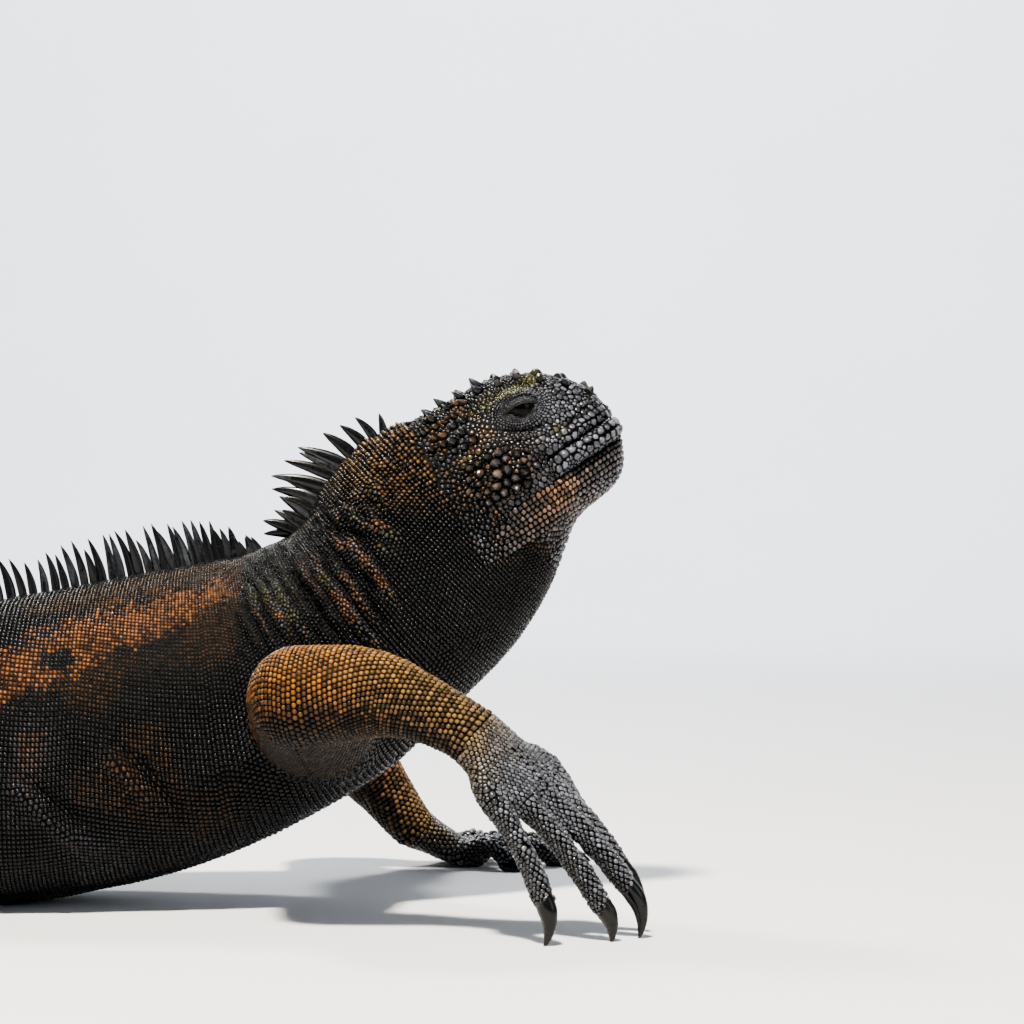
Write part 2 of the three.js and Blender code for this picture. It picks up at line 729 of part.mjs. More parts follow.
// Cone scutes of the crown, occiput and jowls, in pairs, none so far back that it would reach the neck.
function headScutes() {
  const scutes = [];
  const pair = (sample, radius, height, leanBack) => {
    if (sample.t > range.head[1] - radius * 1.8) return;
    for (const side of [-1, 1]) scutes.push(scute(sample, side, radius, height, leanBack));
  };
  for (let row = 0; row < crownRows.count; row++) {
    const t = nearestT(crownRows.first - row * crownRows.pitch, crownRows.height);
    const behind = row >= crownRows.occiputFrom;
    for (let k = 0; k < crownRow.count; k++) {
      const angle = crownRow.first + k * crownRow.pitch + (row % 2 ? crownRow.stagger : 0);
      const radius = random(...scuteRadius) * (behind ? 0.86 : 1);
      pair({ t, angle }, radius, radius * random(0.85, 1.25) * (behind ? 1.35 : 1), row > 3 ? 0.5 : 0.15);
    }
  }
  for (const [x, z] of jowlPlaces) {
    const radius = random(...scuteRadius);
    pair(skinAt(x, z), radius, radius * random(0.8, 1.05), 0.3);
  }
  for (const [x, z] of occiputPlaces) pair(skinAt(x, z), 2.1, 3.6, 0.6);
  return scutes;
}

// Distance along the body of the back line nearest to a place over the head.
function nearestT(x, z) {
  const wanted = fromHead(x, 0, z);
  let best = 0;
  for (let t = 0; t < neckRoot; t += 0.5) {
    if (bodyPoint(t, 0).distanceTo(wanted) < bodyPoint(best, 0).distanceTo(wanted)) best = t;
  }
  return best;
}

add("head", joined([makeHead(), ...(spines.head ?? [])]), colours.skin, 0.5);
for (const side of [-1, 1]) {
  const at = fromHead(0, side * eyeSide, 0);
  const ball = new THREE.SphereGeometry(eyeRadius, 12, 8).translate(at.x, at.y, at.z);
  add(side < 0 ? "eye_right" : "eye_left", solidFrom(ball), colours.eye, 0.15);
}

// Limbs
const trunkGrown = joined(
  ["neck", "chest", "belly", "hips", "tail_1"].map((name) => {
    const [from, to] = range[name];
    return bodySolid(from - gap, to + gap, ...meshSize[name], gap);
  }),
);

// Everything on one side of a plane, as far as a limb reaches.
function halfSpace(point, normal) {
  const size = 130;
  const box = new THREE.BoxGeometry(size, size, size + gap);
  box.applyQuaternion(new THREE.Quaternion().setFromUnitVectors(new THREE.Vector3(0, 0, 1), normal));
  const centre = point.clone().addScaledVector(normal, size / 2);
  return solidFrom(box.translate(centre.x, centre.y, centre.z));
}

function limb(name, { side, joints, radii, rise, knuckles, tips, claws, palm, arch, thickness }) {
  const fore = name.endsWith("fore");
  const [upperName, lowerName, endName] = fore ? ["upper_arm", "forearm", "hand"] : ["thigh", "shin", "foot"];
  const sideName = side < 0 ? "right" : "left";
  const [shoulder, elbow, wrist] = joints.map((joint) => vector(joint, side));
  const upperDirection = elbow.clone().sub(shoulder).normalize();
  const lowerDirection = wrist.clone().sub(elbow).normalize();
  const knucklePoints = knuckles.map((knuckle) => vector(knuckle, side));
  const across = knucklePoints[4].clone().sub(knucklePoints[0]).normalize();
  const palmEnd = middleOf(knucklePoints);
  const palmDirection = palmEnd.clone().sub(wrist).normalize();
  const back = palmDirection.clone().cross(across).normalize();
  if (back.z < 0) back.negate();
  const metacarpal = 0.4; // how far back to the wrist, as a share, a digit's root is sunk in the palm
  const ahead = (point, distance) => point.clone().addScaledVector(palmDirection, distance);

  const level = new THREE.Vector3(0, 0, 1).cross(upperDirection);
  const upperEnd = { rows: 7, sides: 10, roundEnd: true };
  const upper = bar([shoulder, elbow], [radii[0], radii[1]], level, upperEnd).solid;
  const muscle = radii[1].map((r, k) => r * 0.45 + radii[2][k] * 0.6);
  const middle = elbow.clone().lerp(wrist, 0.5).add(new THREE.Vector3(0, 0, rise));
  const lower = bar(
    [elbow, middle, wrist, ahead(wrist, 4)],
    [radii[1], muscle, radii[2].map((r) => r * 0.86), radii[3]],
    across,
    { rows: 9, sides: 10, roundStart: true },
  ).solid;
  const pad = bar(
    [ahead(wrist, -2), wrist.clone().lerp(palmEnd, 0.5), ahead(palmEnd, 5)],
    [radii[3], [palm[0] * 0.92, palm[1] * 1.1], [palm[0], palm[1] * 0.86]],
    across,
    { rows: 7, sides: 10, roundEnd: true, power: 2.3 },
  ).solid;
  const digits = knucklePoints.map((knuckle, i) => digit(knuckle, vector(tips[i], side)));

  function digit(knuckle, tip) {
    const point = (share, lift) => knuckle.clone().lerp(tip, share).addScaledVector(back, lift);
    const root = knuckle.clone().lerp(wrist, metacarpal);
    const path = [root, knuckle, point(0.42, arch), point(0.78, arch * 0.7), tip];
    const [thick, thin] = thickness;
    const sizes = [thick, thick, thick * 0.86, thin * 1.06, thin].map((r) => [r, r * 0.94]);
    return bar(path, sizes, across, { rows: 6, sides: 6 });
  }

  // The limb is parted across the elbow or knee and across the wrist or ankle.
  const elbowNormal = upperDirection.clone().add(lowerDirection).normalize();
  const whole = joined([upper, lower]).subtract(trunkGrown);
  const pieces = whole.subtract(partingSlab(elbow, elbowNormal, 90)).decompose();
  const nearest = (point) => {
    const distance = (piece) => centreOf(piece).distanceTo(point);
    return pieces.reduce((best, piece) => (distance(piece) < distance(best) ? piece : best));
  };
  const wristNormal = lowerDirection.clone().add(palmDirection).normalize();
  const hand = joined([pad, ...digits.map(({ solid }) => solid)])
    .subtract(halfSpace(wrist, wristNormal.clone().negate()))
    .subtract(trunkGrown);
  const forearm = nearest(elbow.clone().lerp(wrist, 0.6)).subtract(halfSpace(wrist, wristNormal));
  const colour = fore ? colours.ochre : colours.skin;
  add(`${upperName}_${sideName}`, nearest(shoulder.clone().lerp(elbow, 0.6)).subtract(floor), colour);
  add(`${lowerName}_${sideName}`, forearm.subtract(floor), colour);
  add(`${endName}_${sideName}`, hand.subtract(floor), colours.hand, 0.45);
  digits.forEach(({ endRing }, i) => {
    const solid = claw(endRing, vector(tips[i], side), vector(claws[i], side), back, thickness[1]);
    add(`claw_${name}_${digitNames[i]}`, solid.subtract(floor), colours.claw, 0.35);
  });
}

// Hooked claw on the flat end of a digit, arched on its back and pointed.
function claw(ring, tip, point, back, radius) {
  const forward = ring.up.clone().cross(ring.side).normalize();
  if (forward.dot(point.clone().sub(tip)) < 0) forward.negate();
  const root = tip.clone().addScaledVector(forward, gap);
  const reach = point.distanceTo(root);
  const knee = root.clone().addScaledVector(forward, reach * 0.55).addScaledVector(back, radius * 0.3);
  const curve = new THREE.QuadraticBezierCurve3(point, knee, root);
  const rows = 4;
  return loft(
    rows,
    5,
    (row, angle, rim) => {
      const u = row / (rows - 1);
      const size = rim * radius * 0.94 * Math.min(1, 0.12 + u * 1.05);
      const tangent = row === rows - 1 ? forward.clone().negate() : curve.getTangent(u);
      const side = ring.side.clone().addScaledVector(tangent, -ring.side.dot(tangent)).normalize();
      const up = tangent.clone().cross(side);
      return curve
        .getPoint(u)
        .addScaledVector(side, size * 0.78 * Math.sin(angle))
        .addScaledVector(up, size * Math.cos(angle));
    },
    true,
  );
}

for (const [name, shape] of Object.entries(limbs)) limb(name, shape);

export default iguana;
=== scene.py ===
# Marine iguana, life size, lying on its belly with the head raised, as a still museum model.
# One skin carries horny scales, a crest of spines, lids, eyes and claws.
# Forms are worked out in millimetres and written to the meshes in metres.
import json
import math

import bpy
import numpy as np
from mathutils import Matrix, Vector
from mathutils.bvhtree import BVHTree
from mathutils.kdtree import KDTree

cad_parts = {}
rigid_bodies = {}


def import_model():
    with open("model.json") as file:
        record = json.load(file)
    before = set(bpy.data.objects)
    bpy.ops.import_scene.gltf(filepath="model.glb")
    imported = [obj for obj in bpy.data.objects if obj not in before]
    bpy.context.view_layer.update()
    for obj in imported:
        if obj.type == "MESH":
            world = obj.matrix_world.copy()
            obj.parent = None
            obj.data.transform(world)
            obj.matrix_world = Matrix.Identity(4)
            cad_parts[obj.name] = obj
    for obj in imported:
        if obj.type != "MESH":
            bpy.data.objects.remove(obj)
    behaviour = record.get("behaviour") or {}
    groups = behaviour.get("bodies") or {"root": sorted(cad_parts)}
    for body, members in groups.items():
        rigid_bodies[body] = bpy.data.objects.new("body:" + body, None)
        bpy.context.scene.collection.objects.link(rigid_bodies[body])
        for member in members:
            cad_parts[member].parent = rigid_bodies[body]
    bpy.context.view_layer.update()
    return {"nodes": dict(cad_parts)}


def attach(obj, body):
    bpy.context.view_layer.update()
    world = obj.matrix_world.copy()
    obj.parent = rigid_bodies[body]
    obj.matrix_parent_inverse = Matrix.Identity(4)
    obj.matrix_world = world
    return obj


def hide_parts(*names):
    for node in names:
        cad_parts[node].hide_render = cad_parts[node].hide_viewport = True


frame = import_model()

mm = 0.001
draw = np.random.default_rng(20)  # one seeded source for all that varies


# Small tools for arrays of points
def unit(vectors):
    return vectors / np.maximum(np.linalg.norm(vectors, axis=-1, keepdims=True), 1e-9)


def dot(a, b):
    return np.sum(a * b, axis=-1)


def smoothStep(low, high, value):
    f = np.clip((value - low) / (high - low), 0, 1)
    return f * f * (3 - 2 * f)


def smoothBlend(knots, values, at):
    # smooth interpolation of a table's column over uneven knots
    knots, values = np.asarray(knots, float), np.asarray(values, float)
    last = len(knots) - 1
    u = np.clip(at, knots[0], knots[last])
    i = np.clip(np.searchsorted(knots[1:last], u), 0, last - 1)
    before, after = np.maximum(np.arange(last + 1) - 1, 0), np.minimum(np.arange(last + 1) + 1, last)
    slopes = (values[after] - values[before]) / (knots[after] - knots[before])
    span = knots[i + 1] - knots[i]
    f = (u - knots[i]) / span
    f2, f3 = f * f, f * f * f
    return (values[i] * (2 * f3 - 3 * f2 + 1) + slopes[i] * span * (f3 - 2 * f2 + f)
            + values[i + 1] * (3 * f2 - 2 * f3) + slopes[i + 1] * span * (f3 - f2))


def noise(points, size, seed=0):
    # smooth random values between -1 and 1, in patches of about this size
    q = np.asarray(points, float) / size + 1000
    cell = np.floor(q).astype(np.int64)
    f = q - cell
    f = f * f * (3 - 2 * f)
    total = np.zeros(len(q))
    for corner in range(8):
        offset = np.array([corner & 1, corner >> 1 & 1, corner >> 2 & 1])
        c = cell + offset
        h = (c[:, 0] * 73856093 ^ c[:, 1] * 19349663 ^ c[:, 2] * 83492791 ^ (seed * 7919 + 13)) & 0xFFFFFFFF
        h = ((h ^ (h >> 13)) * 1274126177) & 0xFFFFFFFF
        h = ((h ^ (h >> 15)) * 2246822519) & 0xFFFFFFFF
        total += np.prod(np.where(offset, f, 1 - f), axis=1) * ((h >> 8) / 2 ** 24)
    return total * 2 - 1


# Shape of the body: the same sections that the solids come from
headTilt = math.radians(28)  # the head is raised this far above level
headCos, headSin = math.cos(headTilt), math.sin(headTilt)
eyeS, eyeZ = 226.6, 190.4  # midline point between the eyes, origin of the head's own frame
mouth = {"cornerX": 1.5, "cornerZ": -21.6, "frontX": 31, "frontZ": -18.6}  # in the head's frame

# top s and z, bottom s and z, half width, widest level as a share of the height, squareness above and below
bodySections = {
    "snout tip": (265.4, 187.5, 267.4, 178.5, 5, 0.5, 2.2, 2.2),
    "lips": (262.0, 193.6, 267.8, 170.4, 11.5, 0.5, 2.3, 2.2),
    "nostrils": (257.6, 197.4, 264.2, 163.4, 16, 0.5, 2.3, 2.3),
    "forehead": (250.0, 201.6, 257.0, 156.4, 20, 0.47, 2.2, 2.3),
    "brow": (238.4, 204.6, 250.6, 151.6, 24, 0.46, 2.2, 2.3),
    "crown": (225.6, 205.2, 247.4, 147.0, 27.4, 0.44, 2.1, 2.3),
    "jowls": (211.6, 202.0, 245.0, 141.4, 30.4, 0.42, 2.0, 2.2),
    "occiput": (197.7, 193.8, 242.6, 133.9, 31.4, 0.44, 2.0, 2.1),
    "nape": (184.6, 187.0, 239.0, 124.0, 31.4, 0.46, 2.0, 2.0),
    "upper neck": (168.0, 179.6, 233.2, 112.6, 33, 0.46, 2.0, 2.0),
    "lower neck": (153.7, 165.8, 223.5, 98.6, 39, 0.45, 2.0, 2.0),
    "neck root": (141.8, 147.4, 204.8, 79.2, 46, 0.44, 2.0, 2.1),
    "shoulders": (125.6, 136.6, 169.7, 48.0, 54, 0.43, 2.0, 2.2),
    "chest": (101.4, 131.4, 115.1, 19.5, 58, 0.42, 2.0, 2.3),
    "front ribs": (58.5, 123.2, 56.6, 3.4, 60.5, 0.41, 1.95, 2.4),
    "belly": (0, 112, 0, -2.0, 62, 0.4, 1.9, 2.5),
    "loin": (-52, 101, -52, -2.0, 57, 0.4, 1.9, 2.5),
    "hips": (-98, 88, -98, -1.6, 45, 0.42, 1.9, 2.4),
    "vent": (-136, 71, -136, -0.6, 31, 0.44, 1.8, 2.1),
    "tail root": (-170, 60, -170, -0.6, 25, 0.46, 1.7, 1.9),
    "tail fore": (-250, 48.5, -250, -0.8, 16.5, 0.46, 1.6, 1.7),
    "tail middle": (-360, 38.5, -360, -0.8, 11, 0.46, 1.6, 1.7),
    "tail rear": (-500, 27, -500, -0.6, 7, 0.46, 1.6, 1.8),
    "tail end": (-620, 15, -620, -0.4, 4, 0.48, 1.8, 1.9),
    "tail tip": (-690, 4.6, -690, -0.2, 1.5, 0.5, 2, 2),
}
sectionRows = np.array(list(bodySections.values()), float)
headings = [(300, 0), (-40, 0), (-150, -9), (-280, -30), (-400, -27), (-520, 4), (-640, 34), (-700, 40)]

planStep, planStart, planEnd = 2, 300, -720
planAt = []
x, y = planStart, 0.0
for s in range(planStart, planEnd - 1, -planStep):
    heading = float(smoothBlend([-h[0] for h in headings], [math.radians(h[1]) for h in headings], -s))
    planAt.append((x, y, heading))
    x -= planStep * math.cos(heading)
    y -= planStep * math.sin(heading)
planAt = np.array(planAt)


def bend(s, l, z):
    # turns s along the animal, l to its left and z up into points of the model
    place = np.clip((planStart - s) / planStep, 0, len(planAt) - 2)
    i = np.floor(place).astype(int)
    at = planAt[i] + (planAt[i + 1] - planAt[i]) * (place - i)[..., None]
    way = at[..., 2]
    return np.stack([at[..., 0] - l * np.sin(way), at[..., 1] + l * np.cos(way), z + 0 * s], axis=-1)


sectionMiddles = (sectionRows[:, 0:2] + sectionRows[:, 2:4]) / 2
bodyKnots = np.concatenate([[0], np.cumsum(np.linalg.norm(np.diff(sectionMiddles, axis=0), axis=1))])
bodyLength = bodyKnots[-1]


def knotOf(section):
    return bodyKnots[list(bodySections).index(section)]


def knotOfS(s):
    return smoothBlend(-sectionMiddles[:, 0], bodyKnots, -np.asarray(s, float))


# The head's own frame: x forwards, l to the left, z up, from the midline point between the eyes
def toHead(s, z):
    ds, dz = s - eyeS, z - eyeZ
    return ds * headCos + dz * headSin, -ds * headSin + dz * headCos


def fromHead(x, l, z):
    x, l, z = np.broadcast_arrays(np.asarray(x, float), l, z)
    s = eyeS + x * headCos - z * headSin
    return np.stack([s, l, eyeZ + x * headSin + z * headCos], axis=-1)


def headWay(x, l, z):
    # a direction given in the head's frame
    return fromHead(x, l, z) - fromHead(0, 0, 0)


# middle x, side and z, reach each way and height of the head's larger forms
headForms = {
    "browRidge": (2, 21, 9, 12, 7, 4.5, 2.2),
    "eyeHollow": (0, 26, -1.5, 10, 9, 6.5, -2.4),
    "cheek": (-14, 28, -23, 13, 12, 11, 3),
    "temple": (-22, 27, 2, 8, 9, 7, 1.4),
    "snoutHollow": (17, 16, -5, 6.5, 6, 5, -1.6),
    "noseBoss": (25, 8, -6, 6, 6, 5, 1.2),
}
reliefEnd = knotOf("upper neck")


def headRelief(s, l, z):
    hx, hz = toHead(s, z)
    total = np.zeros(np.shape(s))
    for x, side, up, rx, ry, rz, height in headForms.values():
        far = ((hx - x) / rx) ** 2 + ((np.abs(l) - side) / ry) ** 2 + ((hz - up) / rz) ** 2
        total += height * np.exp(-far)
    return total


def bodyPoint(t, angle, grow=0.0):
    # a point of the body at distance t from the snout and at an angle round it from the back line
    t, angle = np.broadcast_arrays(np.asarray(t, float), np.asarray(angle, float))
    topS, topZ, bottomS, bottomZ, half, widest, upper, lower = (
        smoothBlend(bodyKnots, sectionRows[:, k], t) for k in range(8))
    height = np.hypot(topS - bottomS, topZ - bottomZ)
    upS, upZ = (topS - bottomS) / height, (topZ - bottomZ) / height
    across, up = np.sin(angle), np.cos(angle)
    power = 2 / np.where(up >= 0, upper, lower)
    reach = np.where(up >= 0, 1 - widest, widest) * height + grow
    l = (half + grow) * np.sign(across) * np.abs(across) ** power
    v = reach * np.sign(up) * np.abs(up) ** power
    sAt = bottomS + upS * (widest * height + v)
    zAt = bottomZ + upZ * (widest * height + v)
    stretch = 1 + np.where(t < reliefEnd, headRelief(sAt, l, zAt) / np.maximum(np.hypot(l, v), 1e-6), 0)
    l, v = l * stretch, v * stretch
    s = bottomS + upS * (widest * height + v)
    z = bottomZ + upZ * (widest * height + v)
    return bend(s, l, np.maximum(z, -grow))


# Limbs: joints, knuckles, digit tips and claw tips as x, distance from the midline and z
# rise lifts the forearm's middle, arch the digits' middles; radii are across and deep at each joint
limbs = {
    "right_fore": {
        "side": -1, "rise": 7, "arch": 2.4, "palm": (16.5, 6.6), "thickness": (5.4, 4.5),
        "joints": [(150, 30, 66), (147, 101, 84), (209, 113, 71)],
        "radii": [(25, 21), (19, 18.5), (14.4, 14), (12.6, 9)],
        "knuckles": [(214, 128, 52), (222, 121.5, 53), (229, 114, 54), (233, 107, 55.5), (235, 99.5, 60)],
        "tips": [(234, 139, 15), (254.5, 127.5, 12), (264, 118.5, 17.5), (262, 105, 23), (250.5, 94, 31)],
        "claws": [(234, 141, -0.8), (257.5, 129.5, -0.8), (267.5, 120.5, -0.6), (270.5, 105.5, 8),
                  (258, 92, 21)],
    },
    "left_fore": {
        "side": 1, "rise": 4, "arch": 6, "palm": (16.5, 6.6), "thickness": (5.4, 4.5),
        "joints": [(150, 30, 64), (136, 102, 66), (181, 124, 17)],
        "radii": [(25, 21), (18.5, 18), (14.4, 14), (12.4, 8.8)],
        "knuckles": [(193, 143, 5.2), (200, 137.5, 5.6), (204, 130.5, 6), (204, 123.5, 6), (200, 116, 5.6)],
        "tips": [(213, 164, 3), (236, 162, 3), (247, 144, 3), (240, 124, 3), (221, 104, 3)],
        "claws": [(221, 171, -0.8), (245, 168, -0.8), (258, 147, -0.8), (251.5, 122.5, -0.8),
                  (229, 98.5, -0.8)],
    },
    "right_hind": {
        "side": -1, "rise": 2, "arch": 6.5, "palm": (16, 7.4), "thickness": (5.4, 4),
        "joints": [(-96, 22, 42), (-50, 108, 46), (-112, 138, 14)],
        "radii": [(30, 27), (19, 18.5), (16.4, 15.6), (11.6, 9.2)],
        "knuckles": [(-104, 160, 5.4), (-88, 162, 5.8), (-82, 156, 6), (-80, 149.5, 6), (-84, 142.5, 5.8)],
        "tips": [(-86, 190, 3), (-32, 190, 3), (-30, 168, 3), (-42, 149, 3), (-61, 133, 3)],
        "claws": [(-78, 198, -0.8), (-21.5, 194.5, -0.8), (-18.5, 168.5, -0.8), (-31, 147, -0.8),
                  (-51.5, 129, -0.8)],
    },
    "left_hind": {
        "side": 1, "rise": 2, "arch": 6.5, "palm": (16, 7.4), "thickness": (5.4, 4),
        "joints": [(-92, 22, 42), (-64, 112, 50), (-126, 128, 14)],
        "radii": [(30, 27), (19, 18.5), (16.4, 15.6), (11.6, 9.2)],
        "knuckles": [(-122, 151, 5.4), (-106, 155, 5.8), (-99, 150.5, 6), (-96, 144.5, 6), (-99, 137, 5.8)],
        "tips": [(-112, 184, 3), (-58, 196, 3), (-50, 175, 3), (-58, 152, 3), (-74, 132, 3)],
        "claws": [(-106, 193, -0.8), (-48.5, 203, -0.8), (-38.5, 178, -0.8), (-46.5, 152, -0.8),
                  (-64, 129, -0.8)],
    },
}
digitNames = "54321"  # from the outer edge of the foot inwards
coatDepth = 0.55  # the skin lies this far inside the solids, and the scales fill it


class Bar:
    # oval form along a smooth path, with half width across and half depth
    def __init__(self, points, sizes, across, roundStart=False, roundEnd=False, power=2.0):
        p = np.array(points, float)
        p = np.vstack([2 * p[0] - p[1], p, 2 * p[-1] - p[-2]])
        run = []
        u = np.linspace(0, 1, 60)[:, None]
        for i in range(1, len(p) - 2):
            p0, p1, p2, p3 = p[i - 1:i + 3]
            d0, d1, d2 = (np.linalg.norm(b - a) ** 0.5 for a, b in ((p0, p1), (p1, p2), (p2, p3)))
            m1 = d1 * ((p1 - p0) / d0 - (p2 - p0) / (d0 + d1) + (p2 - p1) / d1)
            m2 = d1 * ((p2 - p1) / d1 - (p3 - p1) / (d1 + d2) + (p3 - p2) / d2)
            run.append(p1 * (2 * u ** 3 - 3 * u ** 2 + 1) + m1 * (u ** 3 - 2 * u ** 2 + u)
                       + p2 * (3 * u ** 2 - 2 * u ** 3) + m2 * (u ** 3 - u ** 2))
        self.run = np.vstack([part if i == 0 else part[1:] for i, part in enumerate(run)])
        lengths = np.concatenate([[0], np.cumsum(np.linalg.norm(np.diff(self.run, axis=0), axis=1))])
        self.length = lengths[-1]
        self.share = lengths / self.length
        self.sizes = np.array(sizes, float)
        self.across = np.asarray(across, float)
        self.roundStart, self.roundEnd, self.power = roundStart, roundEnd, power

    def centre(self, u):
        return np.stack([np.interp(u, self.share, self.run[:, k]) for k in range(3)], axis=-1)

    def frameAt(self, u):
        tangent = unit(self.centre(np.minimum(u + 0.01, 1)) - self.centre(np.maximum(u - 0.01, 0)))
        side = unit(self.across - tangent * dot(self.across, tangent)[..., None])
        return tangent, side, np.cross(tangent, side)

    def surface(self, u, angle, grow=0.0):
        # u runs past 0 and 1 round the ends, by the depth of the end's radius
        u, angle = np.broadcast_arrays(np.asarray(u, float), np.asarray(angle, float))
        inside = np.clip(u, 0, 1)
        tangent, side, up = self.frameAt(inside)
        knots = np.linspace(0, 1, len(self.sizes))
        a, b = (smoothBlend(knots, self.sizes[:, k], inside) + grow for k in (0, 1))
        out = (u - inside) * self.length
        turn = np.clip(1 - (out / b) ** 2, 0, 1) ** 0.5
        bow = lambda value: np.sign(value) * np.abs(value) ** (2 / self.power)
        return (self.centre(inside) + tangent * out[..., None]
                + side * (turn * a * bow(np.sin(angle)))[..., None]
                + up * (turn * b * bow(np.cos(angle)))[..., None])

    def rings(self, rows, sides, grow=0.0):
        u = np.linspace(0, 1, rows)
        cap = 1 - np.cos(np.linspace(0.1, math.pi / 2, 7))
        if self.roundStart:
            u = np.concatenate([-(1 - cap) * (self.sizes[0][1] + grow) / self.length, u[1:]])
        if self.roundEnd:
            u = np.concatenate([u[:-1], 1 + (1 - cap[::-1]) * (self.sizes[-1][1] + grow) / self.length])
        angle = np.linspace(0, 2 * math.pi, sides, endpoint=False)
        return self.surface(u[:, None], angle[None, :], grow)


def tubeMesh(rings):
    # closed mesh of a run of rings
    rows, sides = rings.shape[:2]
    index = np.arange(rows * sides).reshape(rows, sides)
    after = np.roll(index, -1, axis=1)
    quads = np.stack([index[:-1], after[:-1], after[1:], index[1:]], axis=-1).reshape(-1, 4)
    points = np.vstack([rings.reshape(-1, 3), rings[0].mean(0), rings[-1].mean(0)])
    first, last = rows * sides, rows * sides + 1
    caps = [(first, b, a) for a, b in zip(index[0], after[0])]
    caps += [(last, a, b) for a, b in zip(index[-1], after[-1])]
    return points, [tuple(q) for q in quads.tolist()] + [tuple(int(i) for i in c) for c in caps]


def meshObject(name, points, faces):
    mesh = bpy.data.meshes.new(name)
    mesh.from_pydata((np.asarray(points) * mm).tolist(), [], faces)
    mesh.update()
    piece = bpy.data.objects.new(name, mesh)
    bpy.context.scene.collection.objects.link(piece)
    return piece


def joinedMeshes(meshes):
    points, faces, count = [], [], 0
    for part, partFaces in meshes:
        points.append(part)
        faces += [tuple(i + count for i in face) for face in partFaces]
        count += len(part)
    return np.vstack(points), faces


def only(piece):
    # an operator acts on all that is selected, so nothing else stays selected
    bpy.ops.object.select_all(action="DESELECT")
    piece.select_set(True)
    bpy.context.view_layer.objects.active = piece


def applied(piece, kind, **settings):
    only(piece)
    modifier = piece.modifiers.new(kind.lower(), kind)
    for key, value in settings.items():
        setattr(modifier, key, value)
    bpy.ops.object.modifier_apply(modifier=modifier.name)


def pointsOf(mesh):
    flat = np.empty(len(mesh.vertices) * 3)
    mesh.vertices.foreach_get("co", flat)
    return flat.reshape(-1, 3) / mm


def normalsOf(mesh):
    flat = np.empty(len(mesh.vertices) * 3, np.float32)
    mesh.vertex_normals.foreach_get("vector", flat)
    return flat.reshape(-1, 3).astype(float)


def setPoints(mesh, points):
    mesh.vertices.foreach_set("co", (points * mm).ravel())
    mesh.update()


def treeOf(mesh):
    return BVHTree.FromPolygons([v.co for v in mesh.vertices], [tuple(p.vertices) for p in mesh.polygons])


def pointTree(points):
    tree = KDTree(len(points))
    for i, point in enumerate(points):
        tree.insert(point, i)
    tree.balance()
    return tree


def blankHits(count):
    return np.zeros((count, 3)), np.zeros((count, 3)), np.zeros(count, bool)


rayReach = 300  # longer than any ray that is cast here


def castOn(tree, origins, directions):
    # places, face normals and hit flags of rays
    places, normals, hits = blankHits(len(origins))
    for i, (origin, direction) in enumerate(zip(origins * mm, directions)):
        place, normal, _, _ = tree.ray_cast(Vector(origin), Vector(direction), rayReach * mm)
        if place is not None:
            places[i], normals[i], hits[i] = place, normal, True
    return places / mm, normals, hits


def settleOn(tree, points, reach):
    # nearest places on a surface, their face normals, and whether they are within reach
    places, normals, hits = blankHits(len(points))
    for i, point in enumerate(points * mm):
        place, normal, _, _ = tree.find_nearest(Vector(point), reach * mm)
        if place is not None:
            places[i], normals[i], hits[i] = place, normal, True
    return places / mm, normals, hits


def storeColours(piece, **attributes):
    for attribute, colours in attributes.items():
        made = piece.data.attributes.new(attribute, "FLOAT_COLOR", "POINT")
        made.data.foreach_set("color", np.ascontiguousarray(colours, np.float32).reshape(-1))


def smoothed(piece):
    # faces turned outwards and shaded smooth
    only(piece)
    bpy.ops.object.mode_set(mode="EDIT")
    bpy.ops.mesh.select_all(action="SELECT")
    bpy.ops.mesh.normals_make_consistent(inside=False)
    bpy.ops.object.mode_set(mode="OBJECT")
    bpy.ops.object.shade_smooth()
    return piece


def faceData(mesh):
    # middles and normals of the faces
    middles, normals = np.empty(len(mesh.polygons) * 3), np.empty(len(mesh.polygons) * 3)
    mesh.polygons.foreach_get("center", middles)
    mesh.polygons.foreach_get("normal", normals)
    return middles.reshape(-1, 3) / mm, normals.reshape(-1, 3)


# Skin: body, lips, eye domes and limbs as smooth forms, made one by a voxel remesh
skinMake = {
    "voxel": 2.3,
    "smoothing": 6,
    "tipGrow": 0.6,  # the tail's tip is too thin for the voxels
    "lipRolls": ((3.6, 2.6), (-4.6, 3.1)),  # height above the mouth line, and radius
    "lipInset": 0.3,
    "headFrom": -40,  # in front of this x of the head's frame the skin is meshed twice as fine
    "lipBand": 2.4,  # and near the mouth line, and near the eyes, twice as fine again
    "eyeBand": 8.5,
    "creaseReach": 5.0,  # where a limb leaves the trunk, vertices this near both are smoothed
}
eyeRadius, eyeSide = 6.6, 20.8
lidDome = 7.5


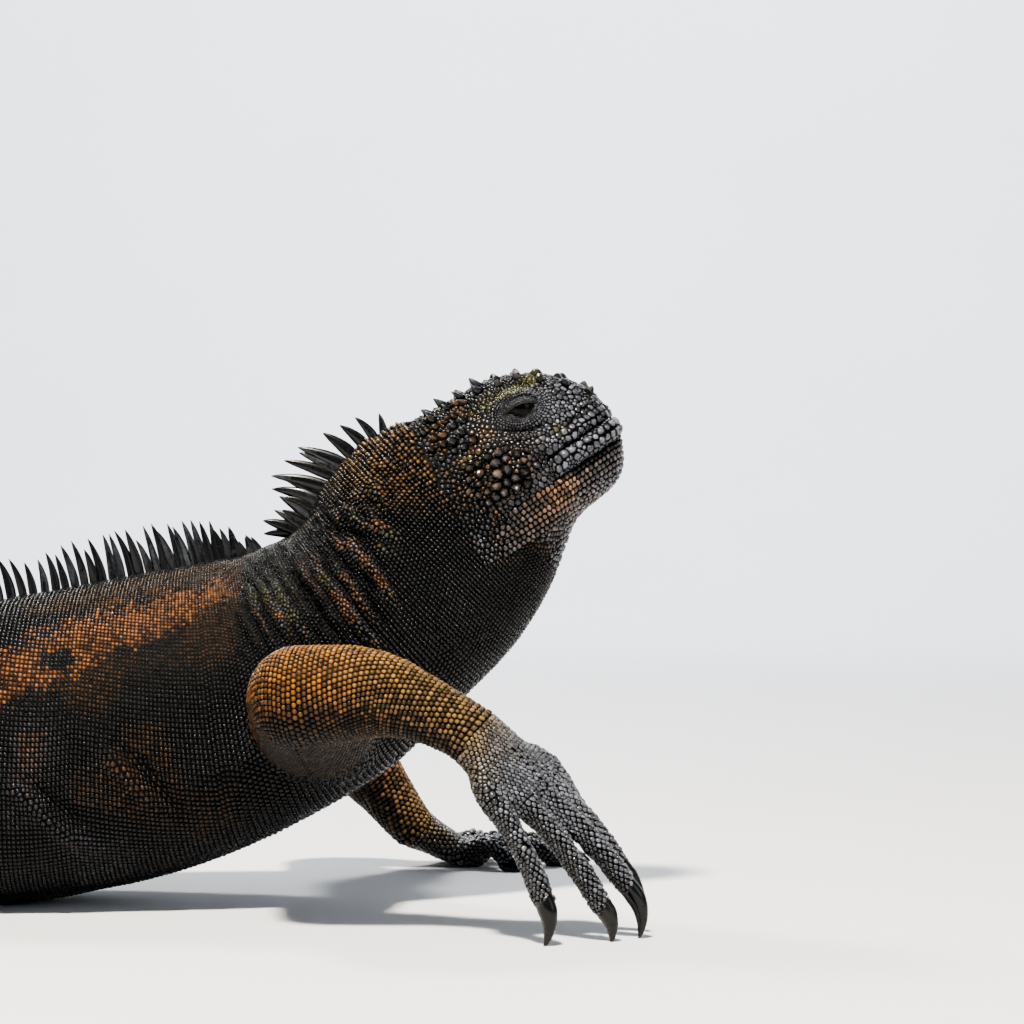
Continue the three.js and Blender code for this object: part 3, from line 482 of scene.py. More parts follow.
def limbForms(shape):
    side = shape["side"]
    turn = np.array([1, side, 1])
    shoulder, elbow, wrist = (np.array(p, float) * turn for p in shape["joints"])
    knuckles, tips = np.array(shape["knuckles"]) * turn, np.array(shape["tips"]) * turn
    across = unit(knuckles[4] - knuckles[0])
    palmEnd = knuckles.mean(0)
    palmWay = unit(palmEnd - wrist)
    back = unit(np.cross(palmWay, across))
    if back[2] < 0:
        back = -back
    radii, palm = np.array(shape["radii"], float), np.array(shape["palm"], float)
    upperWay = unit(elbow - shoulder)
    upper = Bar([shoulder, elbow], radii[:2], np.cross((0, 0, 1), upperWay), roundEnd=True)
    muscle = radii[1] * 0.45 + radii[2] * 0.6
    middle = (elbow + wrist) / 2 + np.array([0, 0, shape["rise"]])
    lower = Bar([elbow, middle, wrist, wrist + palmWay * 4],
                [radii[1], muscle, radii[2] * 0.86, radii[3]], across, roundStart=True)
    hand = Bar([wrist - palmWay * 2, (wrist + palmEnd) / 2, palmEnd + palmWay * 5],
               [radii[3], palm * (0.92, 1.1), palm * (1, 0.86)], across, roundEnd=True, power=2.3)
    digits = []
    thick, thin = shape["thickness"]
    for knuckle, tip in zip(knuckles, tips):
        def along(share, lift):
            return knuckle + (tip - knuckle) * share + back * lift * shape["arch"]
        path = [knuckle + (wrist - knuckle) * 0.4, knuckle, along(0.42, 1), along(0.78, 0.7), tip]
        sizes = [(r, r * 0.94) for r in (thick, thick, thick * 0.86, thin * 1.06, thin)]
        digits.append(Bar(path, sizes, across, roundEnd=True))
    return {"upper": upper, "lower": lower, "hand": hand, "digits": digits, "back": back, "tips": tips,
            "wrist": wrist}


limbShapes = {name: limbForms(shape) for name, shape in limbs.items()}


def mouthHeight(x):
    return mouth["cornerZ"] + (x - mouth["cornerX"]) * (mouth["frontZ"] - mouth["cornerZ"]) / (
        mouth["frontX"] - mouth["cornerX"])


def lipForm(bodyTree, above, radius):
    xs = np.array([1, 5, 9, 13, 17, 21, 25, 28.5, 30.5])
    origins = fromHead(xs, -90, mouthHeight(xs) + above)
    places, _, _ = castOn(bodyTree, origins, np.tile([0.0, 1, 0], (len(xs), 1)))
    right = places + np.array([0, radius * 0.45, 0])
    front = fromHead(31.4, 0, mouthHeight(31) + above)
    path = np.vstack([right, front, (right * (1, -1, 1))[::-1]])
    sizes = [(radius * k, radius * k) for k in (0.35, 0.8, 1, 1, 1, 1, 0.8, 0.35)]
    return Bar(path, sizes, headWay(0, 0, 1))


def makeSkin():
    t = np.linspace(0.4, bodyLength - 0.5, 500)
    angle = np.linspace(0, 2 * math.pi, 84, endpoint=False)
    grow = np.interp(t, [knotOf("tail end"), bodyLength], [-coatDepth, skinMake["tipGrow"]])
    body = tubeMesh(bodyPoint(t[:, None], angle[None, :], grow[:, None]))
    bodyTree = BVHTree.FromPolygons((body[0] * mm).tolist(), body[1])
    meshes = [body]
    for above, radius in skinMake["lipRolls"]:
        meshes.append(tubeMesh(lipForm(bodyTree, above, radius - skinMake["lipInset"]).rings(90, 14)))
    down = np.linspace(0.05, math.pi - 0.05, 22)[:, None]
    turn = np.linspace(0, 2 * math.pi, 28, endpoint=False)[None, :]
    dome = np.stack([np.sin(down) * np.cos(turn), np.sin(down) * np.sin(turn), np.cos(down) + 0 * turn],
                    axis=-1)
    for side in (-1, 1):
        meshes.append(tubeMesh(fromHead(0, side * (eyeSide - 0.6), 0) + lidDome * dome))
    limbMeshes = []
    for form in limbShapes.values():
        bars = [(form["upper"], 40, 34), (form["lower"], 44, 34), (form["hand"], 26, 34)]
        bars += [(digit, 44, 18) for digit in form["digits"]]
        limbMeshes += [tubeMesh(bar.rings(rows, sides, -coatDepth)) for bar, rows, sides in bars]
    limbPoints, limbFaces = joinedMeshes(limbMeshes)
    limbTree = BVHTree.FromPolygons((limbPoints * mm).tolist(), limbFaces)
    skin = meshObject("skin", *joinedMeshes(meshes + limbMeshes))
    applied(skin, "REMESH", mode="VOXEL", voxel_size=skinMake["voxel"] * mm)
    # crumbs that the remesh leaves at the tail's tip are deleted
    only(skin)
    bpy.ops.object.mode_set(mode="EDIT")
    bpy.ops.mesh.select_all(action="DESELECT")
    bpy.ops.object.mode_set(mode="OBJECT")
    skin.data.vertices[int(np.argmax(pointsOf(skin.data)[:, 0]))].select = True
    bpy.ops.object.mode_set(mode="EDIT")
    bpy.ops.mesh.select_linked()
    bpy.ops.mesh.select_all(action="INVERT")
    bpy.ops.mesh.delete(type="VERT")
    bpy.ops.object.mode_set(mode="OBJECT")
    points = pointsOf(skin.data)
    points[:, 2] = np.maximum(points[:, 2], coatDepth)
    setPoints(skin.data, points)

    # the creases where a limb leaves the trunk are softened
    near = (np.abs(points[:, 1]) > 12) & (points[:, 0] > -150) & (points[:, 0] < 215)
    group = skin.vertex_groups.new(name="crease")
    reach = skinMake["creaseReach"]
    for i in np.flatnonzero(near):
        at = Vector(points[i] * mm)
        toBody, toLimb = bodyTree.find_nearest(at), limbTree.find_nearest(at)
        distance = max(toBody[3], toLimb[3]) / mm
        if distance < reach:
            group.add([int(i)], 1 - distance / reach, "REPLACE")
    applied(skin, "SMOOTH", factor=0.5, iterations=22, vertex_group="crease")
    applied(skin, "SMOOTH", factor=0.4, iterations=skinMake["smoothing"])

    # the head and the loose neck are meshed finer, and the lips and eyes finer again
    for level in (0, 1):
        centres, _ = faceData(skin.data)
        x, y, z = centres.T
        hx, hz = toHead(x, z)
        if level:
            lipBand = (hx > -2) & (np.abs(hz - mouthHeight(hx)) < skinMake["lipBand"])
            eyeBand = (np.hypot(hx, hz) < skinMake["eyeBand"]) & (np.abs(y) > 16)
            front = lipBand | eyeBand
        else:
            head = (hx > skinMake["headFrom"]) & (hz > -48)
            loose = (x > 118) & (x < 188) & (z > 92) & (np.abs(y) > 14) & (np.abs(y) < 66)
            loose = loose & (hx <= skinMake["headFrom"])
            front = head | (loose & (dot(centres[:, [0, 2]], (0.42, 0.9)) < 236))
        only(skin)
        bpy.context.tool_settings.mesh_select_mode = (False, False, True)
        bpy.ops.object.mode_set(mode="EDIT")
        bpy.ops.mesh.select_all(action="DESELECT")
        bpy.ops.object.mode_set(mode="OBJECT")
        skin.data.polygons.foreach_set("select", front)
        bpy.ops.object.mode_set(mode="EDIT")
        bpy.ops.mesh.subdivide(number_cuts=1)
        bpy.ops.object.mode_set(mode="OBJECT")
    return skin, bodyTree


skin, bodyTree = makeSkin()
print("skin:", len(skin.data.vertices), "vertices,", len(skin.data.polygons), "faces")


# Folds of loose skin, as lines of x and z seen from the side, with half width and height
folds = {
    "upper wrinkle": ([(162, 156.6), (176, 160.4)], 2.0, 1.5),
    "second wrinkle": ([(155.2, 149.8), (166.5, 151.3)], 2.0, 1.5),
    "throat fold": ([(163.5, 147.6), (174.5, 143.4), (182, 139.6)], 2.1, 2.4),
    "short fold": ([(169.9, 138.1), (176, 135.9), (182, 132.1)], 1.9, 1.5),
    "main fold": ([(153.7, 140.4), (163.5, 135.9), (168.4, 129.1), (177.5, 118.9), (179.7, 114.4)],
                  2.4, 3.0),
    "behind it": ([(156.8, 129.1), (163.5, 121.9), (170.7, 112.1)], 2.2, 2.0),
    "shoulder fold": ([(143.6, 132.9), (153, 123.4), (157.5, 118.2), (163.5, 111.4), (174.5, 98.9)],
                      2.8, 3.0),
    "shoulder roll": ([(125.1, 118.9), (136, 115.9), (145.1, 105.7)], 5.0, 2.6),
    "deep valley": ([(159, 134.4), (170.7, 118.9), (176, 109.9)], 1.7, -2.6),
    "long valley": ([(141.3, 126.4), (148.1, 115.9), (160.5, 103.4)], 2.0, -2.4),
    "upper valley": ([(156, 146), (164, 142), (172, 138.5)], 1.6, -1.8),
    "nape valley": ([(160, 153.4), (172, 154)], 1.4, -1.2),
    "flank fold": ([(68, 67.4), (81, 52.6), (90.3, 39.5)], 3.6, 2.4),
    "flank valley": ([(78, 66), (91, 50), (100, 38)], 3.0, -2.0),
    "belly fold": ([(30, 52), (43.8, 43), (54.9, 32), (68, 27)], 3.4, 2.2),
    "belly valley": ([(40, 54), (52, 42), (66, 36)], 2.8, -1.6),
    "groin fold": ([(-66, 74), (-52, 56), (-46, 40)], 4.0, 2.4),
    "hip valley": ([(-80, 78), (-64, 60), (-56, 42)], 3.4, -2.0),
}


def foldHeight(points):
    # both flanks have the folds
    wander = np.stack([noise(points, 9, 5), noise(points, 9, 6)], axis=-1) * 1.3
    return lineHeight(folds, *(points[:, [0, 2]] + wander).T)


def wrinkleHeight(points):
    # parallel wrinkles down the loose sides of the neck
    x, _, z = points.T
    loose = smoothStep(112, 132, x) * smoothStep(186, 168, x)
    loose = loose * smoothStep(92, 106, z) * smoothStep(164, 148, z)
    across = 0.8 * x + 0.6 * z + 2.6 * noise(points, 20, 9) + 0.8 * noise(points, 7, 10)
    wave = np.sin(2 * math.pi * across / 5.6)
    return loose * (0.75 + 0.4 * noise(points, 14, 11)) * wave * 1.3


# Lines of x and z in the head's frame with half width and height: brow, bag under the eye, creases, lips
faceLines = {
    "brow": ([(-10, 4.6), (-4, 7.2), (1, 6.8), (6.2, 3.2), (9, -1.5)], 1.5, 1.1),
    "brow hollow": ([(-9, 8.5), (-3, 10.5), (3, 9.6), (9, 4.5)], 1.6, -0.9),
    "bag": ([(-8, -2.6), (-3, -5.6), (3, -7.4), (8, -7.4)], 1.3, 0.8),
    "crease": ([(-11, -3.6), (-7, -5.9), (-1, -8.6), (3.6, -9.9), (9, -10.6)], 0.9, -1.5),
    "lower crease": ([(-16, -9), (-9, -10.5), (-2, -12.5), (3, -13.6)], 0.9, -0.9),
    "lower lip": ([(2, -25.6), (10, -24.6), (18, -24.0), (26, -23.3), (33, -22.6)], 2.7, 1.7),
    "under lip": ([(-2, -30), (4, -30.4), (12, -29.6), (20, -29), (27, -28.2), (33, -27.5)], 1.3, -2.1),
    "corner": ([(-3, -21), (0, -22.4), (1.5, -24.5)], 1.1, -1.2),
    "upper lip": ([(3, -18.6), (12, -17.4), (20, -16.4), (28, -15.6)], 1.8, 0.7),
    "over lip": ([(2, -14.6), (10, -13.6), (18, -12.8), (26, -11.8)], 1.0, -0.9),
    "nostril rim": ([(24.5, -3.5), (27, -2.6), (29, -4.4)], 1.2, 0.9),
}


def lineHeight(lines, across, up):
    # sum of the ridges and grooves that these lines make at places seen from the side
    total = np.zeros(len(across))
    seen = np.stack([across, up], axis=-1)
    for line, halfWidth, height in lines.values():
        line = np.array(line, float)
        lengths = np.linalg.norm(np.diff(line, axis=0), axis=1)
        best, share = np.full(len(seen), 1e9), np.zeros(len(seen))
        for k, length in enumerate(lengths):
            way = (line[k + 1] - line[k]) / length
            along = np.clip(dot(seen - line[k], way), 0, length)
            distance = np.linalg.norm(seen - line[k] - along[:, None] * way, axis=1)
            nearer = distance < best
            best = np.where(nearer, distance, best)
            share = np.where(nearer, (lengths[:k].sum() + along) / lengths.sum(), share)
        ends = np.sqrt(np.clip(np.sin(math.pi * np.clip(share, 0.04, 0.96)), 0, 1))
        total += height * ends * np.exp(-(best / halfWidth) ** 2)
    return total


def faceHeight(hx, hz):
    return lineHeight(faceLines, hx, hz)


def eyeFrame(side):
    # centre of an eye, its long axis, its upward axis and the way it looks
    tilt = headTilt - math.radians(7)
    return (fromHead(0, side * eyeSide, 0), np.array([math.cos(tilt), 0, math.sin(tilt)]),
            np.array([-math.sin(tilt), 0, math.cos(tilt)]), np.array([0.0, side, 0]))


lidMake = {"long": 5.7, "upper": 1.55, "lower": 2.05}  # half sizes of the almond opening between the lids


def almond(theta, out=0.0):
    # the rim of the opening at theta = 0 to 2 pi from the front corner, or a ring this far outside it
    height = np.where(np.sin(theta) > 0, lidMake["upper"], lidMake["lower"])
    return ((lidMake["long"] + out) * np.cos(theta),
            (height * np.abs(np.sin(theta)) + out) * np.sin(theta))


nostril = {"x": 26.5, "z": -6.2, "radius": 1.7, "depth": 2.4, "rim": 0.7}
nostrilPlace = fromHead(nostril["x"], 0, nostril["z"])[None]


def sculptSkin(skin):
    # folds, wrinkles, the mouth line and the pits behind the lids
    points, normals = pointsOf(skin.data), normalsOf(skin.data)
    x, y, z = points.T
    hx, hz = toHead(x, z)
    sideways = np.abs(normals[:, 1])
    facing = smoothStep(0.25, 0.6, sideways)
    trunk = (np.abs(y) < 66) & (x > -120)
    move = np.where(trunk, foldHeight(points) * facing, 0)
    loose = smoothStep(95, 140, x) * smoothStep(200, 172, x) * smoothStep(78, 100, z)
    streak = noise(np.stack([x + z * 0.8, y * 0.4, (z - x) * 0.22], axis=-1), 5.5, 1)
    finer = noise(np.stack([x + z * 0.6, y * 0.3, (z - x) * 0.2], axis=-1), 3.2, 4)
    crinkle = loose * (1.0 * streak + 0.6 * finer) + wrinkleHeight(points) * facing
    move += np.where(trunk, crinkle, 0) + 0.35 * noise(points, 16, 2) * (hx < -30)
    face = smoothStep(-34, -22, hx) * (hz > -50)
    move += face * (0.3 * noise(points, 5, 3) + faceHeight(hx, hz) * smoothStep(0.2, 0.5, sideways))
    line = np.abs(hz - mouthHeight(hx))
    move -= 2.6 * np.exp(-(line / 0.85) ** 2) * smoothStep(mouth["cornerX"] - 3, mouth["cornerX"] + 2, hx)
    points += normals * move[:, None]
    # the snout's front is drawn back, most over the upper lip
    blunt = 2.0 * smoothStep(13, 34, hx) + 1.3 * smoothStep(22, 33, hx) * np.exp(-((hz + 13.5) / 6.0) ** 2)
    points -= blunt[:, None] * headWay(1, 0, 0)
    for side in (-1, 1):
        hole = castOn(domeTree, nostrilPlace * (1, 0, 1) + (0, side * 90, 0),
                      np.array([[0.0, -side, 0]]))[0][0]
        far = np.linalg.norm(points - hole, axis=1) / nostril["radius"]
        pit = nostril["depth"] * np.exp(-far ** 4) - nostril["rim"] * np.exp(-((far - 1.5) / 0.4) ** 2)
        points -= normals * pit[:, None]
        centre, longWay, upWay, outWay = eyeFrame(side)
        d = points - centre
        a, b = dot(d, longWay), dot(d, upWay)
        inside = (np.hypot(a / (lidMake["long"] + 1.4), b / 4.4) < 1) & (dot(d, outWay) > 0)
        points = np.where(inside[:, None], centre + unit(d) * (eyeRadius - 1.2), points)
    points[:, 2] = np.maximum(points[:, 2], coatDepth)
    setPoints(skin.data, points)


domeTree = treeOf(skin.data)  # before the pits are made
sculptSkin(skin)
print("skin: folds, mouth line and eye pits")


# Lids: a shell with an almond opening, lying on the dome over each eye
# distance outside the rim, height over the dome, and how pale: two thin rolls and a shallow fold
lidRings = [
    (0.0, -0.95, 0), (0.0, -0.4, 0.1), (0.08, -0.1, 0.7), (0.22, 0.08, 1), (0.4, 0.1, 0.5),
    (0.58, -0.04, 0), (0.78, -0.08, 0), (0.96, 0.06, 0.7), (1.14, 0.1, 0.4), (1.4, 0.0, 0),
    (1.9, 0.0, 0), (2.8, 0.12, 0), (4.0, 0.0, 0), (5.4, -0.5, 0), (5.4, -1.4, 0),
]
hood = 1.2  # the upper lid stands out this much further


def makeLids(side):
    centre, longWay, upWay, outWay = eyeFrame(side)
    theta = np.linspace(0, 2 * math.pi, 72, endpoint=False)
    rings = []
    for out, height, _ in lidRings:
        a, b = almond(theta, out)
        upper = np.clip(np.sin(theta), 0, 1) ** 0.6
        b = b - 0.35 * upper * math.exp(-out)
        origins = centre + longWay * a[:, None] + upWay * b[:, None] + outWay * 40
        places, _, _ = castOn(domeTree, origins, np.tile(-outWay, (len(theta), 1)))
        overhang = hood * upper * math.exp(-((out - 0.9) / 1.3) ** 2) * (out > 0)
        rings.append(places + outWay * (height + overhang)[:, None])
    inner = centre + unit(rings[0] - centre) * (eyeRadius + 0.06)
    rings = [inner] + rings[1:]
    # the shell's inner side closes it behind the rim
    under = [centre + (ring - centre) * 0.9 for ring in (rings[-1], rings[4])]
    pale = np.array([row[2] for row in lidRings] + [0, 0])[:, None] * np.where(np.sin(theta) < 0.1, 1, 0.15)
    rings = np.array(rings + under)
    rows, count = rings.shape[:2]
    index = np.arange(rows * count).reshape(rows, count)
    below, after = np.roll(index, -1, axis=0), np.roll(index, -1, axis=1)
    quads = np.stack([index, after, np.roll(below, -1, axis=1), below], axis=-1).reshape(-1, 4)
    piece = meshObject("lids_" + ("right" if side < 0 else "left"), rings.reshape(-1, 3),
                       [tuple(q) for q in quads.tolist()])
    smoothed(piece)
    pale = pale.ravel()
    storeColours(piece, lid=np.stack([pale] * 3 + [1 + 0 * pale], axis=-1))
    return piece


lids = {side: makeLids(side) for side in (-1, 1)}
skinTree = treeOf(skin.data)
lidTrees = {side: treeOf(lids[side].data) for side in lids}
print("lids:", sum(len(piece.data.polygons) for piece in lids.values()), "faces")


# Places of the scales, as seeds. A ghost is a seed that keeps its neighbours away and grows no scale.
grain, bead, plate, cone, keel, knob, ghost = range(7)
pieceNames = []
seedSets = []
headPiece = -1  # seeds of the head get their piece and their place on the unwrap later


def pieceIndex(name):
    if name not in pieceNames:
        pieceNames.append(name)
    return pieceNames.index(name)


def addSeeds(points, normals, lie, size, height, kind, lean=0.15, piece=headPiece, uv=(0, 0), rate=(0, 0)):
    # rate is how fast a scale's place on the unwrap changes along and across its lie
    count = len(points)
    if count:
        wide = lambda value, *shape: np.broadcast_to(np.asarray(value, float), (count, *shape)).copy()
        seedSets.append({
            "point": points, "normal": unit(normals),
            "lie": unit(lie - normals * dot(lie, normals)[:, None]),
            "size": wide(size), "height": wide(height), "kind": wide(kind).astype(int),
            "piece": wide(piece).astype(int), "uv": wide(uv, 2), "rate": wide(rate, 2), "lean": wide(lean)})


def joinedSeeds(sets):
    return {key: np.concatenate([s[key] for s in sets]) for key in sets[0]}


farFlank = 1.16  # scales of the flank that the photo doesn't show are this much wider


def rowsOver(surface, start, end, pitchAt, pieceAt, kind=grain, rowShare=0.87, rise=0.36, reach=4.0,
             lean=0.15, sizeVary=0.08):
    # rows of scales round a form from its back line down both sides, each row half a scale out of step
    angles = np.linspace(0, math.pi, 150)
    u, row = start, 0
    while u < end:
        piece, low, high, split = pieceAt(u)
        span = math.pi if split else 2 * math.pi
        width = 0.004 * (end - start)
        pitchHere = pitchAt(u, angles) * np.ones(len(angles))
        middle = float(np.interp(math.pi * 0.45, angles, pitchHere))
        stepLength = np.linalg.norm(surface(u + width, math.pi * 0.45) - surface(u, math.pi * 0.45)) / width
        for side in (1, -1):
            ring = surface(u, side * angles)
            advance = np.linalg.norm(surface(u + width, side * angles) - ring, axis=1) / width
            pitch = pitchHere * (farFlank if split and side > 0 else 1)
            pitch = pitch * np.clip(advance / max(float(stepLength), 1e-6), 0.7, 1.5)
            steps = np.linalg.norm(np.diff(ring, axis=0), axis=1)
            measure = np.concatenate([[0], np.cumsum(steps / (0.5 * (pitch[1:] + pitch[:-1])))])
            wanted = np.arange(0.5 if row % 2 else (0.0 if side > 0 else 1.0), measure[-1] + 0.2, 1.0)
            if len(wanted) == 0:
                continue
            at = np.interp(wanted, measure, angles)
            here = surface(u, side * at)
            lie = unit(surface(u + width, side * at) - here)
            turn = surface(u, side * (at + 0.01)) - here
            normal = unit(np.cross(lie, turn))
            centre = np.array([ring[:, 0].mean(), ring[0, 1], ring[:, 2].mean()])
            normal = np.where(dot(normal, here - centre)[:, None] < 0, -normal, normal)
            here, faceNormal, hits = settleOn(skinTree, here, reach)
            good = hits & (dot(faceNormal, normal) > 0.35)
            uv = np.stack([np.full(len(at), (u - low) / (high - low)),
                           at / span if split else 0.5 + side * at / span], axis=-1)
            stepU = np.linalg.norm(surface(u + width, side * at) - surface(u, side * at), axis=1) / width
            stepV = np.linalg.norm(turn, axis=1) / 0.01
            sign = np.sign(dot(np.cross(faceNormal, lie), turn)) * (1 if split else side)
            rate = np.stack([1 / (stepU * (high - low)), sign / (stepV * span)], axis=-1)
            size = np.interp(wanted, measure, pitch) * (1 + draw.uniform(-sizeVary, sizeVary, len(at)))
            name = piece + ("_right" if side < 0 else "_left") if split else piece
            if good.any():
                addSeeds(here[good], faceNormal[good], lie[good], size[good], size[good] * rise, kind, lean,
                         pieceIndex(name), uv[good], rate[good])
        u += rowShare * middle / max(float(stepLength), 1e-6)
        row += 1
    return u


headSeeds = {
    "crownSize": 6.0, "crownStep": 7.4, "jowlSize": 3.9, "occiputSize": 3.3,
    "plain": 2.15,  # on most of the face
    "pointed": 2.0,  # behind it
    "beads": 2.1,  # on the jaw, and between the knobs of the jowl
    "snout": 2.6,
}
jowlField = {"x": -19, "z": -19, "reachX": 13, "reachZ": 9}  # of the knobbly plates, in the head's frame
# distance outside the lids' rim, and pitch, of the rings of small grains; the first keeps the rim bare
lidGrains = [(0.35, 0), (0.95, 0.5), (1.5, 0.6), (2.15, 0.7), (2.85, 0.84), (3.7, 0.98), (4.7, 1.12),
             (5.85, 1.3)]


def inJowl(x, z):
    return (((x - jowlField["x"]) / jowlField["reachX"]) ** 2
            + ((z - jowlField["z"]) / jowlField["reachZ"]) ** 2)


def onHead(origins, directions, size, height, kind, lean=0.1):
    # seeds where rays meet the head
    places, normals, hits = castOn(skinTree, origins, directions)
    pick = hits & (dot(normals, directions) < -0.2)
    lie = np.tile(headWay(-1, 0, 0), (int(pick.sum()), 1))
    addSeeds(places[pick], normals[pick], lie, size, height, kind, lean)


def mouthRow(above, pitch, height, kind, corner=0.0, size=None, reachBack=0.0, jitter=0.06):
    # a row of scales along the mouth from corner to corner, this far above its line
    turn = np.radians(np.linspace(-150, 150, 500))
    origin = fromHead(6, 0, mouthHeight(6) + above)
    slope = (mouth["frontZ"] - mouth["cornerZ"]) / (mouth["frontX"] - mouth["cornerX"])
    tilt = headTilt + math.atan(slope)
    directions = np.stack([np.cos(turn) * math.cos(tilt), np.sin(turn), np.cos(turn) * math.sin(tilt)],
                          axis=-1)
    places, _, hits = castOn(skinTree, np.tile(origin, (len(turn), 1)), directions)
    hx, _ = toHead(places[:, 0], places[:, 2])
    places = places[hits & (hx > corner - reachBack)]
    run = np.concatenate([[0], np.cumsum(np.linalg.norm(np.diff(places, axis=0), axis=1))])
    count = int(run[-1] / pitch)
    at = (np.arange(count) + 0.5) / count * run[-1] + draw.uniform(-jitter, jitter, count) * pitch
    here = np.stack([np.interp(at, run, places[:, k]) for k in range(3)], axis=-1)
    here, normal, _ = settleOn(skinTree, here, 4)
    along = np.gradient(here, axis=0)
    lie = np.cross(along, normal)
    lie *= -np.sign(lie[:, 2:3] + 1e-6)
    addSeeds(here, normal, lie, (size or pitch) * draw.uniform(0.92, 1.08, count), height, kind, 0.0)


def seedLids():
    # rings of small grains round the opening
    for side in (-1, 1):
        centre, longWay, upWay, outWay = eyeFrame(side)
        for out, pitch in lidGrains:
            theta = np.linspace(0, 2 * math.pi, 400)
            a, b = almond(theta, out)
            run = np.concatenate([[0], np.cumsum(np.hypot(np.diff(a), np.diff(b)))])
            count = int(run[-1] / (pitch or 0.8))
            at = np.interp(np.arange(count) / count * run[-1], run, theta)
            a, b = almond(at, out)
            origins = centre + longWay * a[:, None] + upWay * b[:, None] + outWay * 40
            ways = np.tile(-outWay, (count, 1))
            places, normals, hits = castOn(lidTrees[side], origins, ways)
            onSkin, skinNormals, onHits = castOn(skinTree, origins, ways)
            below = ~hits | (onHits & (dot(onSkin - places, outWay) > 0))
            places = np.where(below[:, None], onSkin, places)
            normals = np.where(below[:, None], skinNormals, normals)
            tangent = longWay * np.gradient(a)[:, None] + upWay * np.gradient(b)[:, None]
            addSeeds(places, normals, np.cross(tangent, normals), pitch or 0.9, pitch * 0.36,
                     bead if pitch else ghost, 0.0)
        # nothing grows in the opening
        grid = np.stack(np.meshgrid(np.linspace(-5, 5, 13), (-1.2, 0, 1.0)), axis=-1).reshape(-1, 2)
        places = centre + longWay * grid[:, :1] + upWay * grid[:, 1:] + outWay * (eyeRadius - 0.6)
        addSeeds(places, np.tile(outWay, (len(grid), 1)), np.tile(longWay, (len(grid), 1)), 0.8, 0, ghost)


def seedNostrils():
    # a bare pit in a ring of small scales
    for side in (-1, 1):
        turn = np.arange(9) * 2 * math.pi / 9
        for share, kind, size in ((0.0, ghost, 1.2), (0.55, ghost, 1.2), (1.35, bead, 1.3)):
            spots = fromHead(nostril["x"] + nostril["radius"] * share * np.cos(turn), side * 90,
                             nostril["z"] + nostril["radius"] * share * np.sin(turn))
            onHead(spots, np.tile([0.0, -side, 0], (9, 1)), size, 0.45, kind)


def seedLips():
    # mouth line, lips and the rows next to them
    mouthRow(0.0, 0.7, 0, ghost, size=0.8)
    mouthRow(2.0, 3.2, 0.7, plate, size=3.6)
    mouthRow(-2.3, 3.6, 1.0, plate, corner=1, size=4.1)
    mouthRow(-5.6, 3.1, 0.9, plate, size=3.5)
    mouthRow(4.9, 2.8, 0.6, plate, corner=-2, size=3.1, jitter=0.1)
    mouthRow(7.4, 2.4, 0.6, plate, corner=-2, size=2.6, jitter=0.12)
    mouthRow(-8.0, 1.9, 0.5, bead, corner=2, jitter=0.1)


def seedCrown():
    # blunt pyramids in rows from the forehead back, then spiky ones over the occiput
    down = headWay(0, 0, -1)[None, :]
    for row in range(9):
        x = 26.4 - row * headSeeds["crownStep"] * 0.99
        back = row >= 5
        step = 4.6 if back else 6.4
        sides = [0, step, step * 2, step * 3] if row % 2 == 0 else [step * 0.5, step * 1.5, step * 2.5]
        for l in sides:
            if l > 15.5 + (4 if back else 0) - (6 if row == 0 else 0):
                continue
            for side in ((-1, 1) if l else (1,)):
                spot = np.array([[x + draw.uniform(-0.8, 0.8), side * l + draw.uniform(-0.6, 0.6)]])
                origin = fromHead(spot[:, 0], spot[:, 1], 45)
                size = headSeeds["crownSize"] * draw.uniform(0.85, 1.12) * (0.74 if back else 1)
                height = size * (0.9 if back else 0.42) * draw.uniform(0.85, 1.15)
                onHead(origin, down, size, height, cone if back else knob, 0.45 if back else 0.12)


def seedJowls():
    # knobbly plates in a rough hexagonal field
    for row in range(7):
        for k in range(9):
            x = -38 + 4.0 * k + (2.0 if row % 2 else 0)
            z = -8 - 3.6 * row
            inside = inJowl(x, z)
            if inside < 1.25:
                for side in (-1, 1):
                    origin = fromHead(x + draw.uniform(-0.7, 0.7), side * 90, z + draw.uniform(-0.7, 0.7))
                    size = headSeeds["jowlSize"] * draw.uniform(0.86, 1.15) * (1.1 - 0.2 * inside)
                    onHead(origin[None, :], np.array([[0.0, -side, 0]]), size,
                           size * draw.uniform(0.55, 0.85), knob, 0.3)


def seedOcciput():
    # the back of the head is set with spiky cones down to the neck
    for row in range(5):
        for k in range(4):
            x = -21 - 4.6 * k - (2.3 if row % 2 else 0)
            z = 13 - 3.9 * row
            for side in (-1, 1):
                size = headSeeds["occiputSize"] * draw.uniform(0.85, 1.2)
                origin = fromHead(x + draw.uniform(-0.6, 0.6), side * 90, z + draw.uniform(-0.6, 0.6))
                onHead(origin[None, :], np.array([[0.0, -side, 0]]), size,
                       size * draw.uniform(0.75, 1.1), cone, 0.5)


def seedJaw():
    # rows of beads under the lips
    for k in range(13):
        mouthRow(-9.9 - 1.95 * k, 2.1, 0.9, bead, corner=-2 - 1.5 * k, reachBack=22)


